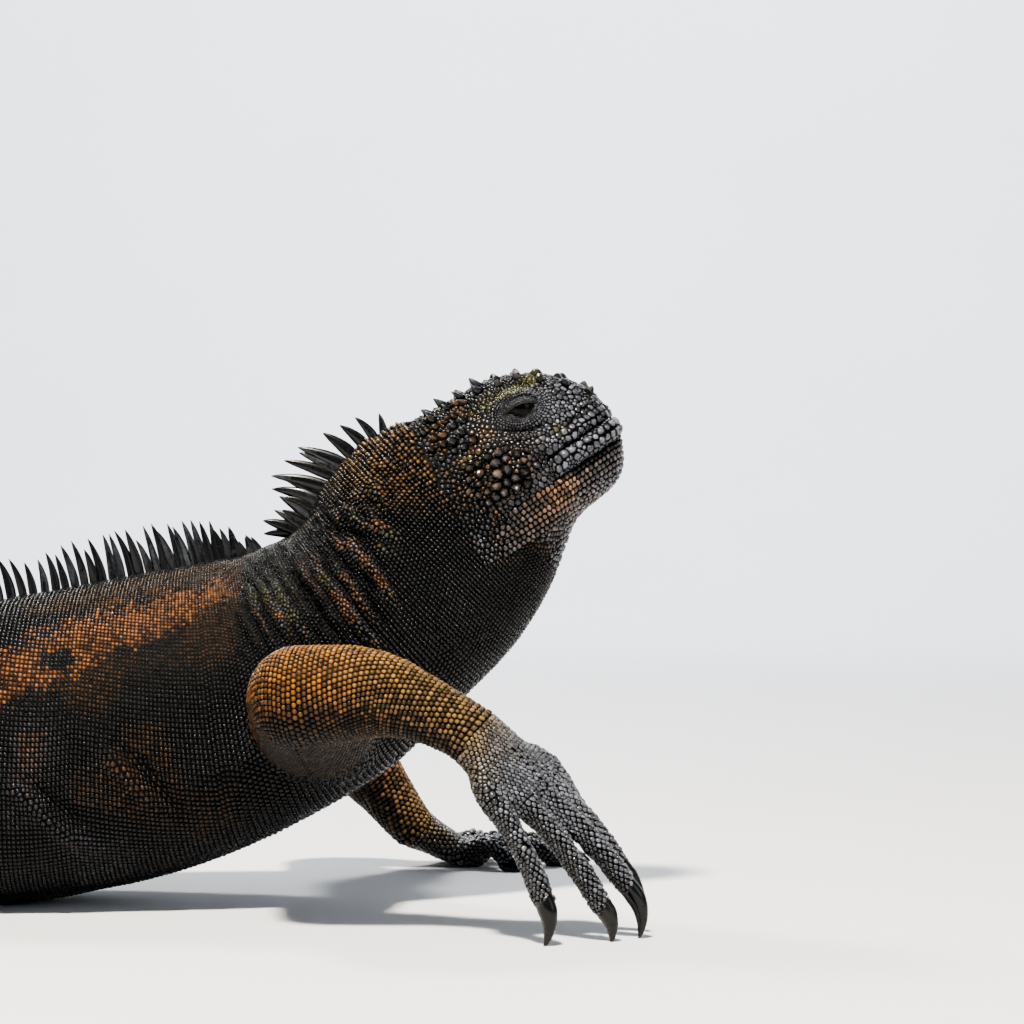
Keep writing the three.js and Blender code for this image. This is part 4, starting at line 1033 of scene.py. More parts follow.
def seedFace():
    # all that is left of the face, by a size that changes over it
    points, normals = pointsOf(skin.data), normalsOf(skin.data)
    hx, hz = toHead(points[:, 0], points[:, 2])
    keep = (hx > -41) & (hz > -46)
    order = draw.permutation(np.flatnonzero(keep))
    points, normals, hx, hz = points[order], normals[order], hx[order], hz[order]
    eyeFar = np.sqrt(hx ** 2 + hz ** 2)
    jaw, behind = hz < mouthHeight(hx) - 8, hx < -30
    size = np.interp(eyeFar, [8, 13, 20], [1.4, 1.8, headSeeds["plain"]])
    size = np.where((hx > 14) & (hz > -13), headSeeds["snout"], size)
    size = size * draw.uniform(0.72, 1.3, len(size))
    size = np.where(jaw, headSeeds["beads"], size)
    size = np.where(behind, headSeeds["pointed"], size)
    size = np.where(inJowl(hx, hz) < 1.2, headSeeds["beads"], size)
    kinds = np.where(jaw, bead, plate)
    kinds = np.where((hz > 8) | behind, cone, kinds)
    rise = np.select([kinds == bead, kinds == cone], [0.42, 0.5], 0.26)
    addSeeds(points, normals, np.tile(headWay(-1, 0, 0), (len(points), 1)), size, size * rise, kinds)


pitchTable = {-640: 2.4, -300: 3.1, -150: 2.75, -60: 2.4, 20: 2.0, 60: 1.84, 150: 1.84, 200: 1.84}  # by s


def bodyPitch(u, angles):
    s = float(np.interp(u, bodyKnots, sectionMiddles[:, 0]))
    size = np.interp(s, list(pitchTable), list(pitchTable.values()))
    return size * (1 + 0.25 * smoothStep(2.3, 2.9, angles))  # wider under the belly


# first and last s, and whether each flank is a piece of its own
bodyPieces = {"neck": (214, 172, False), "chest": (172, 62, True), "belly": (62, -44, True),
              "hips": (-44, -142, False), "tail": (-142, -686, False)}


def seedBody():
    limits = {name: (float(knotOfS(first)), float(knotOfS(last)), split)
              for name, (first, last, split) in bodyPieces.items()}

    def pieceAt(u):
        name = next((name for name, row in limits.items() if u < row[1]), "tail")
        return "scales_" + name, *limits[name]

    surface = lambda u, angle: bodyPoint(u, angle, -coatDepth)
    u = rowsOver(surface, limits["neck"][0], limits["hips"][1], bodyPitch, pieceAt)
    rowsOver(surface, u, bodyLength - 2, bodyPitch, pieceAt, keel, 1.15, 0.34, 3.0, 0.35)


def seedLimbs():
    for name, form in limbShapes.items():
        where, end = name.split("_")
        arm = "arm" if end == "fore" else "leg"
        hand = "hand" if end == "fore" else "foot"
        limbPitch = lambda u, angles: (2.1 if name == "right_fore" else 2.5) + 0 * angles
        piece = f"scales_{arm}_{where}"
        elbowCap = -0.96 * form["lower"].sizes[0][1] / form["lower"].length
        for part, (low, high) in {"upper": (0.3, 1.0), "lower": (elbowCap, 0.96)}.items():
            surface = lambda u, angle, bar=form[part]: bar.surface(u, angle, -coatDepth)
            before = len(seedSets)
            rowsOver(surface, low, high, limbPitch, lambda u: (piece, low, high, False))
            for seeds in seedSets[before:]:  # upper and lower part share one unwrap
                seeds["uv"][:, 0] = seeds["uv"][:, 0] * 0.48 + (0.5 if part == "lower" else 0.0)
                seeds["rate"][:, 0] *= 0.48
        piece = f"scales_{hand}_{where}"
        handKind = plate if name == "right_fore" else grain
        for digit, bar in enumerate(form["digits"]):
            # one row of broad plates along the top of each digit, smaller scales down its sides
            surface = lambda u, angle, bar=bar: bar.surface(u, angle, -coatDepth)
            top = 0.0 if dot(bar.frameAt(np.array(0.6))[2], form["back"]) > 0 else math.pi
            turned = lambda u, angle, surface=surface, top=top: surface(u, angle + top)
            wide = 1.0 if name == "right_fore" else 1.22
            digitPitch = lambda u, angles: wide * np.interp(angles, [0, 0.6, 0.9, math.pi],
                                                            [2.7, 2.4, 1.65, 1.7])
            before = len(seedSets)
            rowsOver(turned, 0.3, 1.0, digitPitch, lambda u: (piece, 0.3, 1.0, False), handKind, 0.94, 0.32,
                     2.0, 0.2)
            for seeds in seedSets[before:]:
                seeds["uv"][:, 1] = (seeds["uv"][:, 1] + digit) / 6
                seeds["rate"][:, 1] /= 6
        surface = lambda u, angle, bar=form["hand"]: bar.surface(u, angle, -coatDepth)
        before = len(seedSets)
        rowsOver(surface, 0.05, 1.05, lambda u, angles: (1.8 if name == "right_fore" else 2.2) + 0 * angles,
                 lambda u: (piece, 0.05, 1.05, False), handKind, 0.9, 0.32, 2.5, 0.2)
        for seeds in seedSets[before:]:
            seeds["uv"][:, 1] = (seeds["uv"][:, 1] + 5) / 6
            seeds["rate"][:, 1] /= 6


def thinned(seeds, share, against=None):
    # drops each seed that comes too near an earlier one, or one of those it is set against
    points, size = seeds["point"], seeds["size"]
    alive = np.ones(len(points), bool)
    if against is not None:
        tree = pointTree(against["point"])
        for i, point in enumerate(points):
            _, j, distance = tree.find(point)
            if distance < share * 0.5 * (size[i] + against["size"][j]):
                alive[i] = False
    order = np.flatnonzero(alive)
    tree = pointTree(points[order])
    widest = float(size.max())
    for k, i in enumerate(order):
        if not alive[i]:
            continue
        reach = share * 0.5 * (size[i] + min(widest, size[i] * 2.5))
        for _, other, distance in tree.find_range(points[i], reach):
            j = order[other]
            if other > k and alive[j] and distance < share * 0.5 * (size[i] + size[j]):
                alive[j] = False
    return {key: value[alive] for key, value in seeds.items()}


for seedPart in (seedLids, seedNostrils, seedLips, seedCrown, seedJowls, seedOcciput, seedJaw, seedFace):
    seedPart()
headEnd = len(seedSets)
seedBody()
seedLimbs()
headSeedSet = joinedSeeds(seedSets[:headEnd])
bodySeedSet = joinedSeeds(seedSets[headEnd:])
print("seeds planned:", len(headSeedSet["point"]), "on the head,", len(bodySeedSet["point"]), "behind it")
# the scales of the nape and the upper neck are rough and pointed
rough = smoothStep(122, 152, bodySeedSet["point"][:, 2]) * smoothStep(118, 150, bodySeedSet["point"][:, 0])
bodySeedSet["height"] *= 1 + rough * draw.uniform(0.2, 1.3, len(rough))
bodySeedSet["lean"] += 0.6 * rough
headCrowding, bodyCrowding = 0.86, 0.68  # least distance between seeds, as a share of their size
headSeedSet = thinned(headSeedSet, headCrowding)
bodySeedSet = thinned(bodySeedSet, bodyCrowding, headSeedSet)
print("seeds kept:", len(headSeedSet["point"]), "and", len(bodySeedSet["point"]))


def unwrapHead(seeds):
    # the head's places on the unwrap: along it and round it, from a net of known points
    span = float(knotOfS(196))
    whole = span + 12  # with what lies past the net
    t, angle = np.meshgrid(np.linspace(1, span, 70), np.linspace(-math.pi, math.pi, 90, endpoint=False),
                           indexing="ij")
    t, angle = t.ravel(), angle.ravel()
    net = bodyPoint(t, angle, -coatDepth)
    alongWay = (bodyPoint(t + 0.5, angle, -coatDepth) - net) / 0.5
    roundWay = (bodyPoint(t, angle + 0.01, -coatDepth) - net) / 0.01
    tree = pointTree(net)
    nearest = np.array([tree.find(point)[1] for point in seeds["point"]])
    d = seeds["point"] - net[nearest]
    a, r = alongWay[nearest], roundWay[nearest]
    u = (t[nearest] + dot(d, a) / dot(a, a)) / whole
    v = 0.5 + (angle[nearest] + dot(d, r) / np.maximum(dot(r, r), 4)) / (2 * math.pi)
    seeds["uv"] = np.stack([u, v], axis=-1)
    seeds["lie"] = unit(a - seeds["normal"] * dot(a, seeds["normal"])[:, None])
    across = np.cross(seeds["normal"], seeds["lie"])
    lengths = np.linalg.norm(a, axis=1), np.linalg.norm(r, axis=1)
    seeds["rate"] = np.stack([1 / (lengths[0] * whole),
                              np.sign(dot(across, r)) / (np.maximum(lengths[1], 2) * 2 * math.pi)], axis=-1)


def fillGaps(seeds, share=0.8):
    # new scales wherever the skin is still bare, each like its nearest neighbour
    centres, normals = faceData(skin.data)
    order = draw.permutation(len(centres))
    centres, normals = centres[order], normals[order]
    tree = pointTree(seeds["point"])
    near, far = np.zeros(len(centres), int), np.zeros(len(centres))
    for i, point in enumerate(centres):
        _, near[i], far[i] = tree.find(point)
    size = np.clip(seeds["size"][near] * 0.82, 1.1, 2.6)
    pick = (far > share * 0.5 * (size + seeds["size"][near])) & (seeds["kind"][near] != ghost)
    near, d = near[pick], centres[pick] - seeds["point"][near[pick]]
    lie, normal = seeds["lie"][near], normals[pick]
    across = np.cross(seeds["normal"][near], lie)
    fresh = {key: value[near].copy() for key, value in seeds.items()}
    fresh["point"], fresh["normal"] = centres[pick], normal
    fresh["lie"] = unit(lie - normal * dot(lie, normal)[:, None])
    fresh["size"] = size[pick]
    fresh["height"] = np.minimum(fresh["height"], fresh["size"] * 0.36)
    fresh["kind"] = np.where(np.isin(fresh["kind"], (cone, knob, ghost)), bead, fresh["kind"])
    shift = np.stack([dot(d, lie) * fresh["rate"][:, 0], dot(d, across) * fresh["rate"][:, 1]], axis=-1)
    fresh["uv"] = fresh["uv"] + shift
    return thinned(fresh, share)


unwrapHead(headSeedSet)
headSeedSet["piece"][:] = pieceIndex("scales_head")
allSeeds = joinedSeeds([headSeedSet, bodySeedSet])
filled = fillGaps(allSeeds)
allSeeds = joinedSeeds([allSeeds, filled])
print("seeds filled in:", len(filled["point"]), "of", len(allSeeds["point"]))


def cellEdges(seeds, sides, foundSize, offsets):
    # distance from each seed to the edge of its cell, in even directions round its lie
    lie = seeds["lie"]
    across = np.cross(seeds["normal"], lie)
    dx, dy = dot(offsets, lie[:, None]), dot(offsets, across[:, None])
    share = (seeds["size"][:, None] / (seeds["size"][:, None] + foundSize)) * (dx ** 2 + dy ** 2)
    turn = np.arange(sides) * 2 * math.pi / sides
    toward = dx[..., None] * np.cos(turn) + dy[..., None] * np.sin(turn)
    edge = np.where(toward > 1e-4, share[..., None] / np.maximum(toward, 1e-4), 1e9).min(axis=1)
    return np.clip(edge, 0.24 * seeds["size"][:, None], 0.82 * seeds["size"][:, None])


def neighboursOf(seeds, count=10):
    # each seed's neighbours, the way to them, and how much the skin bends there
    points = seeds["point"]
    tree = pointTree(points)
    near = np.array([[j for _, j, _ in tree.find_n(point, count + 1)][1:] for point in points])
    offsets = points[near] - points[:, None]
    bent = dot(seeds["normal"][near] - seeds["normal"][:, None], offsets)
    bent = bent / np.maximum(dot(offsets, offsets), 0.04)
    return near, offsets, np.clip(np.median(bent[:, :6], axis=1), -0.2, 0.35)


# Markings and painted light: how much of each colour a scale has and how light it is, from its place and the
# way it faces
def spot(x, z, middleX, middleZ, reachX, reachZ):
    return np.exp(-((x - middleX) / reachX) ** 2 - ((z - middleZ) / reachZ) ** 2)


def markingsAndPaintedLight(seeds):
    p, n = seeds["point"], seeds["normal"]
    x, y, z = p.T
    names = np.array(pieceNames)[seeds["piece"]]
    has = lambda word: np.char.find(names, word) >= 0
    head, arm, hand, foot = has("head"), has("arm"), has("hand"), has("foot")
    leg, tail = has("leg"), has("tail")
    trunk = has("chest") | has("belly") | has("hips") | has("neck")
    hx, hz = toHead(x, z)
    nose = np.exp(-((hx - nostril["x"]) ** 2 + (hz - nostril["z"]) ** 2) / nostril["radius"] ** 2)
    chance, other = draw.uniform(0, 1, len(p)), draw.uniform(0, 1, len(p))
    patch, fine = noise(p, 22, 7), noise(p, 7, 8)
    speckled = lambda value, soft=0.5: np.clip((value - other * soft) / (1 - soft), 0, 1)
    # rust band along the upper flank, with a dark spot, fraying at its edges and breaking up behind
    middle = np.interp(x, [-140, -40, 32, 68, 86, 112, 124], [54, 76, 88, 102.8, 110, 118, 121])
    half = np.interp(x, [-140, -40, 32, 68, 86, 112, 124], [7, 11, 13.5, 12, 9, 5, 2])
    band = smoothStep(1.35, 0.3, np.abs(z - middle + 3 * fine + 2 * patch) / half) * smoothStep(126, 108, x)
    band *= np.where(x < 25, smoothStep(-0.4, 0.25, patch), 1)
    band *= 1 - np.clip(1.5 * spot(x + 2 * fine, z, 53, 94.6, 7, 4), 0, 0.92)
    rust = speckled(band, 0.7) * trunk * (np.abs(y) > 18)
    rust = rust * np.interp(x, [-60, 30], [0.6, 1]) * (0.6 + 0.5 * chance)
    rust = rust + head * 0.4 * spot(hx, hz, 31, -38, 6, 8)
    rust = rust + trunk * 0.22 * speckled(smoothStep(0.25, 0.7, patch)) * (z < middle) * (x < 60)
    # ochre over the arms, the neck folds and the nape
    fore = [limbShapes[name] for name in ("right_fore", "left_fore")]
    ways = [unit(form["lower"].centre(np.array(0.6)) - form["wrist"]) for form in fore]
    wristFar = np.where(y < 0, *(dot(p - form["wrist"], way) for form, way in zip(fore, ways)))
    foreLimb = arm | hand
    # painted light: the forelimbs' ochre and green are strongest on upward faces and weak underneath
    lit = smoothStep(-0.75, 0.25, n[:, 2])
    ochre = foreLimb * (0.2 + 0.8 * lit) * smoothStep(-14, 52, wristFar + 7 * fine) * (0.8 + 0.25 * fine)
    # on the neck fold ridges, ochre, green and pale silvery scales are partly the folds' own mottling and
    # partly painted light
    fold = smoothStep(0.4, 2.4, foldHeight(p) + wrinkleHeight(p)) * trunk * (x > 118)
    nape = trunk * smoothStep(146, 168, z) * smoothStep(146, 172, x)
    ochre = ochre + fold * 0.42 * speckled(smoothStep(-0.4, 0.9, fine), 0.9)
    ochre = ochre + nape * 0.1 * speckled(smoothStep(-0.4, 0.5, fine), 0.8)
    ochre = ochre + head * 0.2 * speckled(smoothStep(-0.1, 0.6, fine)) * (hx < -14) * (hz > -8)
    hind = leg | tail | trunk
    ochre = ochre + hind * 0.12 * speckled(smoothStep(0, 0.6, -patch)) * (z > 20) * (x < 120)
    # yellow-green over the forearms, brow and temple, and between the neck folds
    green = foreLimb * smoothStep(58, 18, wristFar + 6 * fine) * smoothStep(-26, 14, wristFar + 8 * fine)
    green = green * (0.14 + 0.3 * lit)
    green = green + head * (1.0 * spot(hx, hz, 8, 9, 5, 2.4)
                            + 0.35 * speckled(smoothStep(0.0, 0.6, patch)) * (hz > 6)
                            + 0.8 * spot(hx, hz, -27, -9.5, 3.6, 2.8) + 0.5 * spot(hx, hz, 9, -14, 2.4, 2.2))
    green = green * np.where(seeds["kind"] == knob, 0.5, 1)
    green = green + fold * 0.4 * speckled(smoothStep(0.3, -0.4, fine), 0.8)
    green = green + nape * 0.25 * speckled(0.6 + 0 * x)
    # tan beads of the jaw and the forearm, knobs of the jowl
    jaw = smoothStep(mouthHeight(hx) - 8, mouthHeight(hx) - 11, hz)
    tan = head * jaw * (1.1 * spot(hx, hz, -3, -34, 7, 4.2) + 0.3 * spot(hx, hz, -7, -39, 18, 10)
                        + 0.16 * spot(hx, hz, 16, -32, 14, 4))
    jowl = head * spot(hx, hz, -18, -18, 14, 9)
    tan = tan + 0.24 * jowl * (0.2 + 0.8 * chance)
    tan = tan + 0.3 * foreLimb * smoothStep(64, 24, wristFar) * smoothStep(-20, 10, wristFar)
    tan = tan + trunk * 0.2 * (x > 205) * smoothStep(125, 150, z) * speckled(smoothStep(-0.2, 0.5, fine))
    tan = tan + nape * 0.3 * speckled(0.7 + 0 * x, 0.8)
    # pale silvery scales, partly wear and partly painted glints and sheen: over the face, the knobs, the
    # folds and the hands
    wearAndGlint = head * (0.5 * smoothStep(-12, 10, hx + 4 * fine) * smoothStep(8, 1, hz) + 0.18
                     + 0.25 * spot(hx, hz, 22, -22, 12, 4)) + (foot * 0.2)
    wearAndGlint = wearAndGlint + jowl * (0.5 * np.isin(seeds["kind"], (knob, cone)) - 0.15)
    wearAndGlint = wearAndGlint + 0.22 * head * jaw + 0.45 * fold
    # painted sheen: the digits are paler on their upward faces
    digitTopSheen = 0.4 * smoothStep(12, -24, wristFar) * (0.5 + 0.9 * smoothStep(-0.2, 0.8, n[:, 2]))
    wearAndGlint = wearAndGlint + foreLimb * (0.05 + 0.1 * smoothStep(60, 20, wristFar) + digitTopSheen)
    wearAndGlint = wearAndGlint + head * 0.3 * np.exp(-((hz - mouthHeight(hx) + 3) / 3.2) ** 2) * (hx > 0)
    wearAndGlint = wearAndGlint + trunk * (0.02 + 0.2 * smoothStep(0, 0.6, patch) * (x < 130)) + tail * 0.1 + leg * 0.1
    # how light each scale is: random lightness, painted light on ridges and tops, painted shade in grooves
    # and below
    relief = np.where(head, 1.3 * faceHeight(hx, hz), (foldHeight(p) + 1.2 * wrinkleHeight(p)) * (x > -120))
    toneAndPaintedLight = 0.45 + 0.15 * patch + 0.8 * (chance - 0.5)
    # painted light on ridges, painted shade in grooves and in the nostril pit
    toneAndPaintedLight = toneAndPaintedLight + 0.2 * np.clip(relief, 0, 2) - 0.3 * np.clip(-relief, 0, 2) - 0.8 * nose * head
    # painted light on upward faces, painted shade underneath
    toneAndPaintedLight = toneAndPaintedLight + (0.25 * (trunk | leg) + 0.5 * foreLimb) * np.clip(n[:, 2], -1, 0.4 + 0.2 * ~arm)
    # painted shade among the jowl's knobs, deepest between them; darker at the nape
    toneAndPaintedLight = np.clip(toneAndPaintedLight + (0.2 * (seeds["kind"] == knob) - 0.25) * (jowl > 0.2) - 0.24 * nape, 0, 1)
    clip = lambda value: np.clip(value * (0.7 + 0.4 * chance), 0, 1)
    return (np.stack([clip(rust), clip(ochre), clip(green), clip(tan)], axis=-1),
            np.stack([np.clip(wearAndGlint * (0.5 + other), 0, 1), toneAndPaintedLight, chance, np.ones(len(p))], axis=-1))


# share of the cell's width and of the height, from the edge of a scale to its top
profiles = {
    grain: ((0.78, 0.6),), keel: ((0.72, 0.55),),
    bead: ((0.9, 0.42), (0.6, 0.86)), plate: ((0.9, 0.6), (0.62, 0.95)),
    cone: ((0.78, 0.34), (0.42, 0.72)), knob: ((0.84, 0.34), (0.46, 0.78)),
}
patchWide = 0.003  # of each scale on the unwrap
sunk = 0.35  # how deep a scale's edge lies under the skin
lowest = 0.04  # nothing reaches the floor itself
edgeShare = 0.95  # of its cell that a scale fills
unevenness = 0.09  # random tilt of each scale's top, so that glints are uneven


def buildScales(name, seeds, edges, curve, marks, finish):
    # one mesh of closed scales, all of them with the same number of rings and sides
    count, sides = edges.shape
    kinds = seeds["kind"]
    levels = len(profiles[int(kinds[0])])
    table = np.array([profiles[k] if k in profiles and len(profiles[k]) == levels else np.zeros((levels, 2))
                      for k in range(6)], float)
    shares = np.concatenate([np.full((count, 1), edgeShare), table[kinds, :, 0]], axis=1)
    heights = np.concatenate([np.zeros((count, 1)), table[kinds, :, 1]], axis=1)
    normal, lie = seeds["normal"], seeds["lie"]
    across = np.cross(normal, lie)
    height = seeds["height"] * (0.88 + 0.24 * finish[:, 2])
    turn = np.arange(sides) * 2 * math.pi / sides
    flat = edges[:, None, :] * shares[:, :, None]
    drop = 0.5 * curve[:, None, None] * flat ** 2
    up = (heights * height[:, None])[:, :, None] - drop
    tilt = draw.normal(0, unevenness, (count, 2, 1, 1))
    up[:, 1:] += (flat * (tilt[:, 0] * np.cos(turn) + tilt[:, 1] * np.sin(turn)))[:, 1:]
    up[:, 0] -= sunk
    shift = (seeds["lean"] * height)[:, None, None] * heights[:, :, None]
    ringX, ringY = flat * np.cos(turn) + shift, flat * np.sin(turn)
    ring = (seeds["point"][:, None, None] + ringX[..., None] * lie[:, None, None]
            + ringY[..., None] * across[:, None, None] + up[..., None] * normal[:, None, None])
    apex = seeds["point"] + normal * height[:, None] + lie * (seeds["lean"] * height)[:, None]
    each = (levels + 1) * sides + 1
    points = np.concatenate([ring.reshape(count, -1, 3), apex[:, None]], axis=1)
    points[..., 2] = np.maximum(points[..., 2], lowest)
    base = (np.arange(count) * each)[:, None]
    k = np.arange(sides)
    after = (k + 1) % sides
    bottoms = base + k[::-1][None, :]
    quads = [np.stack([level * sides + k, level * sides + after, (level + 1) * sides + after,
                       (level + 1) * sides + k], axis=-1) for level in range(levels)]
    quads = np.concatenate(quads)[None] + base[:, :, None]
    tops = np.stack([levels * sides + k, levels * sides + after, np.full(sides, each - 1)], axis=-1)
    tops = tops[None] + base[:, :, None]
    corners = np.concatenate([bottoms.ravel(), quads.ravel(), tops.ravel()])
    faceCounts = (count, count * levels * sides, count * sides)  # bottoms, quads and tops
    sizes = np.repeat([sides, 4, 3], faceCounts)
    mesh = bpy.data.meshes.new(name)
    mesh.vertices.add(count * each)
    mesh.vertices.foreach_set("co", (points.reshape(-1, 3) * mm).ravel())
    mesh.loops.add(len(corners))
    mesh.loops.foreach_set("vertex_index", corners)
    mesh.polygons.add(len(sizes))
    starts = np.concatenate([[0], np.cumsum(sizes)[:-1]])
    mesh.polygons.foreach_set("loop_start", starts)
    mesh.update(calc_edges=True)
    smooth = kinds != knob  # knobs are faceted
    smooth = np.concatenate([np.repeat(smooth, faces // count) for faces in faceCounts])
    mesh.polygons.foreach_set("use_smooth", smooth)
    # every scale is a small patch at its root's place on the unwrap
    middle = np.zeros((count, 1))
    discX, discY = (np.concatenate([(shares[:, :, None] * wave).reshape(count, -1), middle], axis=1)
                    for wave in (np.cos(turn), np.sin(turn)))
    uv = seeds["uv"]
    uv = 0.01 + 0.98 * np.clip((uv - uv.min(0)) / np.maximum(uv.max(0) - uv.min(0), 1e-6), 0, 1)
    flatUv = np.stack([uv[:, :1] + discX * patchWide / 2, uv[:, 1:] + discY * patchWide / 2], axis=-1)
    flatUv = flatUv.reshape(-1, 2)
    layer = mesh.uv_layers.new(name="OFBake")
    layer.data.foreach_set("uv", flatUv[corners].ravel())
    # the ring heights set the painted shade that darkens each scale towards its edge
    openness = np.where(np.isin(kinds, (cone, knob)), 0.5, 1.0)[:, None]  # cones are pale further down
    level = np.concatenate([np.repeat(heights ** openness, sides, axis=1), np.ones((count, 1))], axis=1)
    for attribute, values in (("marks", marks), ("finish", finish)):
        colours = np.repeat(values[:, None], each, axis=1)
        if attribute == "finish":
            colours[..., 3] = level
        made = mesh.attributes.new(attribute, "FLOAT_COLOR", "POINT")
        made.data.foreach_set("color", colours.reshape(-1).astype(np.float32))
    piece = bpy.data.objects.new(name, mesh)
    bpy.context.scene.collection.objects.link(piece)
    return piece


near, offsets, curve = neighboursOf(allSeeds)
marks, finish = markingsAndPaintedLight(allSeeds)
scalePieces = {}
sizeNear = allSeeds["size"][near]
for index, name in enumerate(pieceNames):
    for coarse in (True, False):
        fineKind = np.isin(allSeeds["kind"], (bead, plate, cone, knob))
        pick = (allSeeds["piece"] == index) & (allSeeds["kind"] != ghost) & (fineKind != coarse)
        if not pick.any():
            continue
        part = {key: value[pick] for key, value in allSeeds.items()}
        edges = cellEdges(part, 6 if coarse else 8, sizeNear[pick], offsets[pick])
        fullName = name if name not in scalePieces else name + "_plates"
        scalePieces[fullName] = buildScales(fullName, part, edges, curve[pick], marks[pick], finish[pick])
triangles = {name: sum(len(p.vertices) - 2 for p in piece.data.polygons)
             for name, piece in scalePieces.items()}
print("scales:", triangles, "in all", sum(triangles.values()))

# The skin takes the colours, wear and painted light of the scales that stand on it
seedTree = pointTree(allSeeds["point"])
nearest = np.array([seedTree.find(point)[1] for point in pointsOf(skin.data)])
storeColours(skin, marks=marks[nearest], finish=finish[nearest] * (1, 1, 1, 0))
only(skin)
bpy.ops.object.shade_smooth()


# Crest: flattened spines along the back line, longest over the nape
crest = {
    # over the nape: way along the back line from the first spine, length, and degrees above level
    "nape": [(0, 8, 79), (4.2, 11, 49), (8.8, 12.3, 40), (14.9, 14.6, 38), (19.8, 19.2, 21),
             (22.9, 17, 25), (25.8, 20.3, 18), (30.9, 22, 12), (34.4, 17, 24), (37.8, 18.8, 17),
             (41.2, 12, 26), (44.2, 14, 35), (46.7, 10, 28), (49.2, 12, 32), (52.1, 13, 19), (53.6, 11, 0)],
    "firstX": 172.8,
    # behind it: s of the midline section, length and spacing over shoulders, back and tail
    "table": [(146, 8, 3.2), (138, 7, 3.4), (131, 10, 3.6), (122, 14.5, 3.8), (100, 17.5, 3.9),
              (60, 16.5, 4.0), (-40, 15, 4.3), (-130, 11, 5), (-200, 12, 5.6), (-330, 9.5, 6),
              (-520, 6, 6.2), (-676, 3.4, 6.4)],
    "rows": 12, "sides": 10,
    "root": 1.8,  # how deep a spine starts in the skin
    "halfNape": 2.4, "halfBehind": 1.75,  # widest half width
    "flat": 0.46,  # thickness as a share of the width
}


def spineRings(root, way, across, length, half, thin, bow):
    # rings of a lance-shaped spine, its convex side away from the tail; bow is its bend over its length
    share = np.linspace(0, 1, crest["rows"])
    front = np.cross(across, way)
    width = half * (1 - share ** 2.7) ** 0.75 * (1 + 0.1 * np.sin(math.pi * np.minimum(share * 1.6, 1)))
    depth = thin * (1 - share ** 2.4) ** 0.7
    width[-1], depth[-1] = 0.16, 0.12
    centre = (root + way * (-crest["root"] + (length + crest["root"]) * share)[:, None]
              + front * (bow * length * 4 * share * (1 - share))[:, None])
    turn = np.arange(crest["sides"]) * 2 * math.pi / crest["sides"]
    return (centre[:, None] + front * (width[:, None] * np.cos(turn))[..., None]
            + across * (depth[:, None] * np.sin(turn))[..., None]), share, turn


def makeCrest():
    t = np.linspace(knotOfS(225), knotOfS(-690), 6000)
    line = bodyPoint(t, 0, -coatDepth)
    run = np.concatenate([[0], np.cumsum(np.linalg.norm(np.diff(line, axis=0), axis=1))])
    first = float(np.interp(-crest["firstX"], -line[:, 0], run))
    spines = [(first + far, length, rise) for far, length, rise in crest["nape"]]
    knots = [-row[0] for row in crest["table"]]
    s = crest["table"][0][0]
    while s > crest["table"][-1][0]:
        length, spacing = (float(smoothBlend(knots, [row[k] for row in crest["table"]], -s))
                           for k in (1, 2))
        spines.append((float(np.interp(knotOfS(s), t, run)), length * draw.uniform(0.8, 1.13), None))
        s -= spacing * draw.uniform(0.9, 1.1)
    meshes, marksHere, uvHere = [], [], []
    for far, length, rise in spines:
        at = float(np.interp(far, run, t))
        root = bodyPoint(at, 0, -coatDepth)
        backwards = unit(bodyPoint(at + 1, 0) - bodyPoint(at, 0))
        level = unit(backwards * (1, 1, 0))
        side = np.cross((0, 0, 1), level)
        normal = unit(np.cross(backwards, side))
        normal = normal if normal[2] > 0 else -normal
        if rise is None:
            way = unit(normal + backwards * (0.1 + draw.uniform(-0.1, 0.12)))
        else:
            way = level * math.cos(math.radians(rise)) + np.array([0, 0, math.sin(math.radians(rise))])
        way = unit(way + side * draw.uniform(-0.1, 0.1))
        twist = draw.uniform(-0.3, 0.3)
        across = unit(side * math.cos(twist) + np.cross(way, side) * math.sin(twist))
        across = unit(across - way * dot(across, way))
        widest = crest["halfBehind"] if rise is None else crest["halfNape"]
        half = min(widest, length * 0.18) * draw.uniform(0.88, 1.1)
        thin = max(half * crest["flat"], 0.6)
        ring, share, turn = spineRings(root, way, across, length, half, thin, draw.uniform(0.03, 0.07))
        if dot(np.cross(across, way), backwards) > 0:
            ring = spineRings(root, way, -across, length, half, thin, draw.uniform(0.03, 0.07))[0]
        meshes.append(tubeMesh(ring))
        # how near the edge and the tip each vertex is, and how worn the spine is
        up = np.concatenate([np.repeat(share, len(turn)), [0, 1]])
        edge = np.concatenate([np.tile(np.abs(np.cos(turn)), len(share)), [0, 0]])
        worn = draw.uniform() ** (1.6 if far < first + 60 else 0.8)
        marksHere.append(np.stack([edge, up, np.full(len(up), worn), np.ones(len(up))], axis=-1))
        u = 0.02 + 0.96 * far / run[-1]
        uvHere.append(np.stack([u + 0.0012 * (up - 0.5), 0.5 + 0.3 * np.concatenate(
            [np.tile(turn / (2 * math.pi), len(share)), [0, 0]])], axis=-1))
    piece = smoothed(meshObject("crest_spines", *joinedMeshes(meshes)))
    storeColours(piece, horn=np.vstack(marksHere))
    layer = piece.data.uv_layers.new(name="OFBake")
    corners = np.empty(len(piece.data.loops), int)
    piece.data.loops.foreach_get("vertex_index", corners)
    layer.data.foreach_set("uv", np.vstack(uvHere)[corners].ravel())
    print("crest:", len(spines), "spines")
    return piece


crestPiece = makeCrest()


# Claws: hooked black horn, one to a digit
clawMake = {"gap": 0.3, "rootBack": 1.6, "knee": 0.55, "high": 0.86, "wide": 0.66, "rows": 16, "sides": 14}


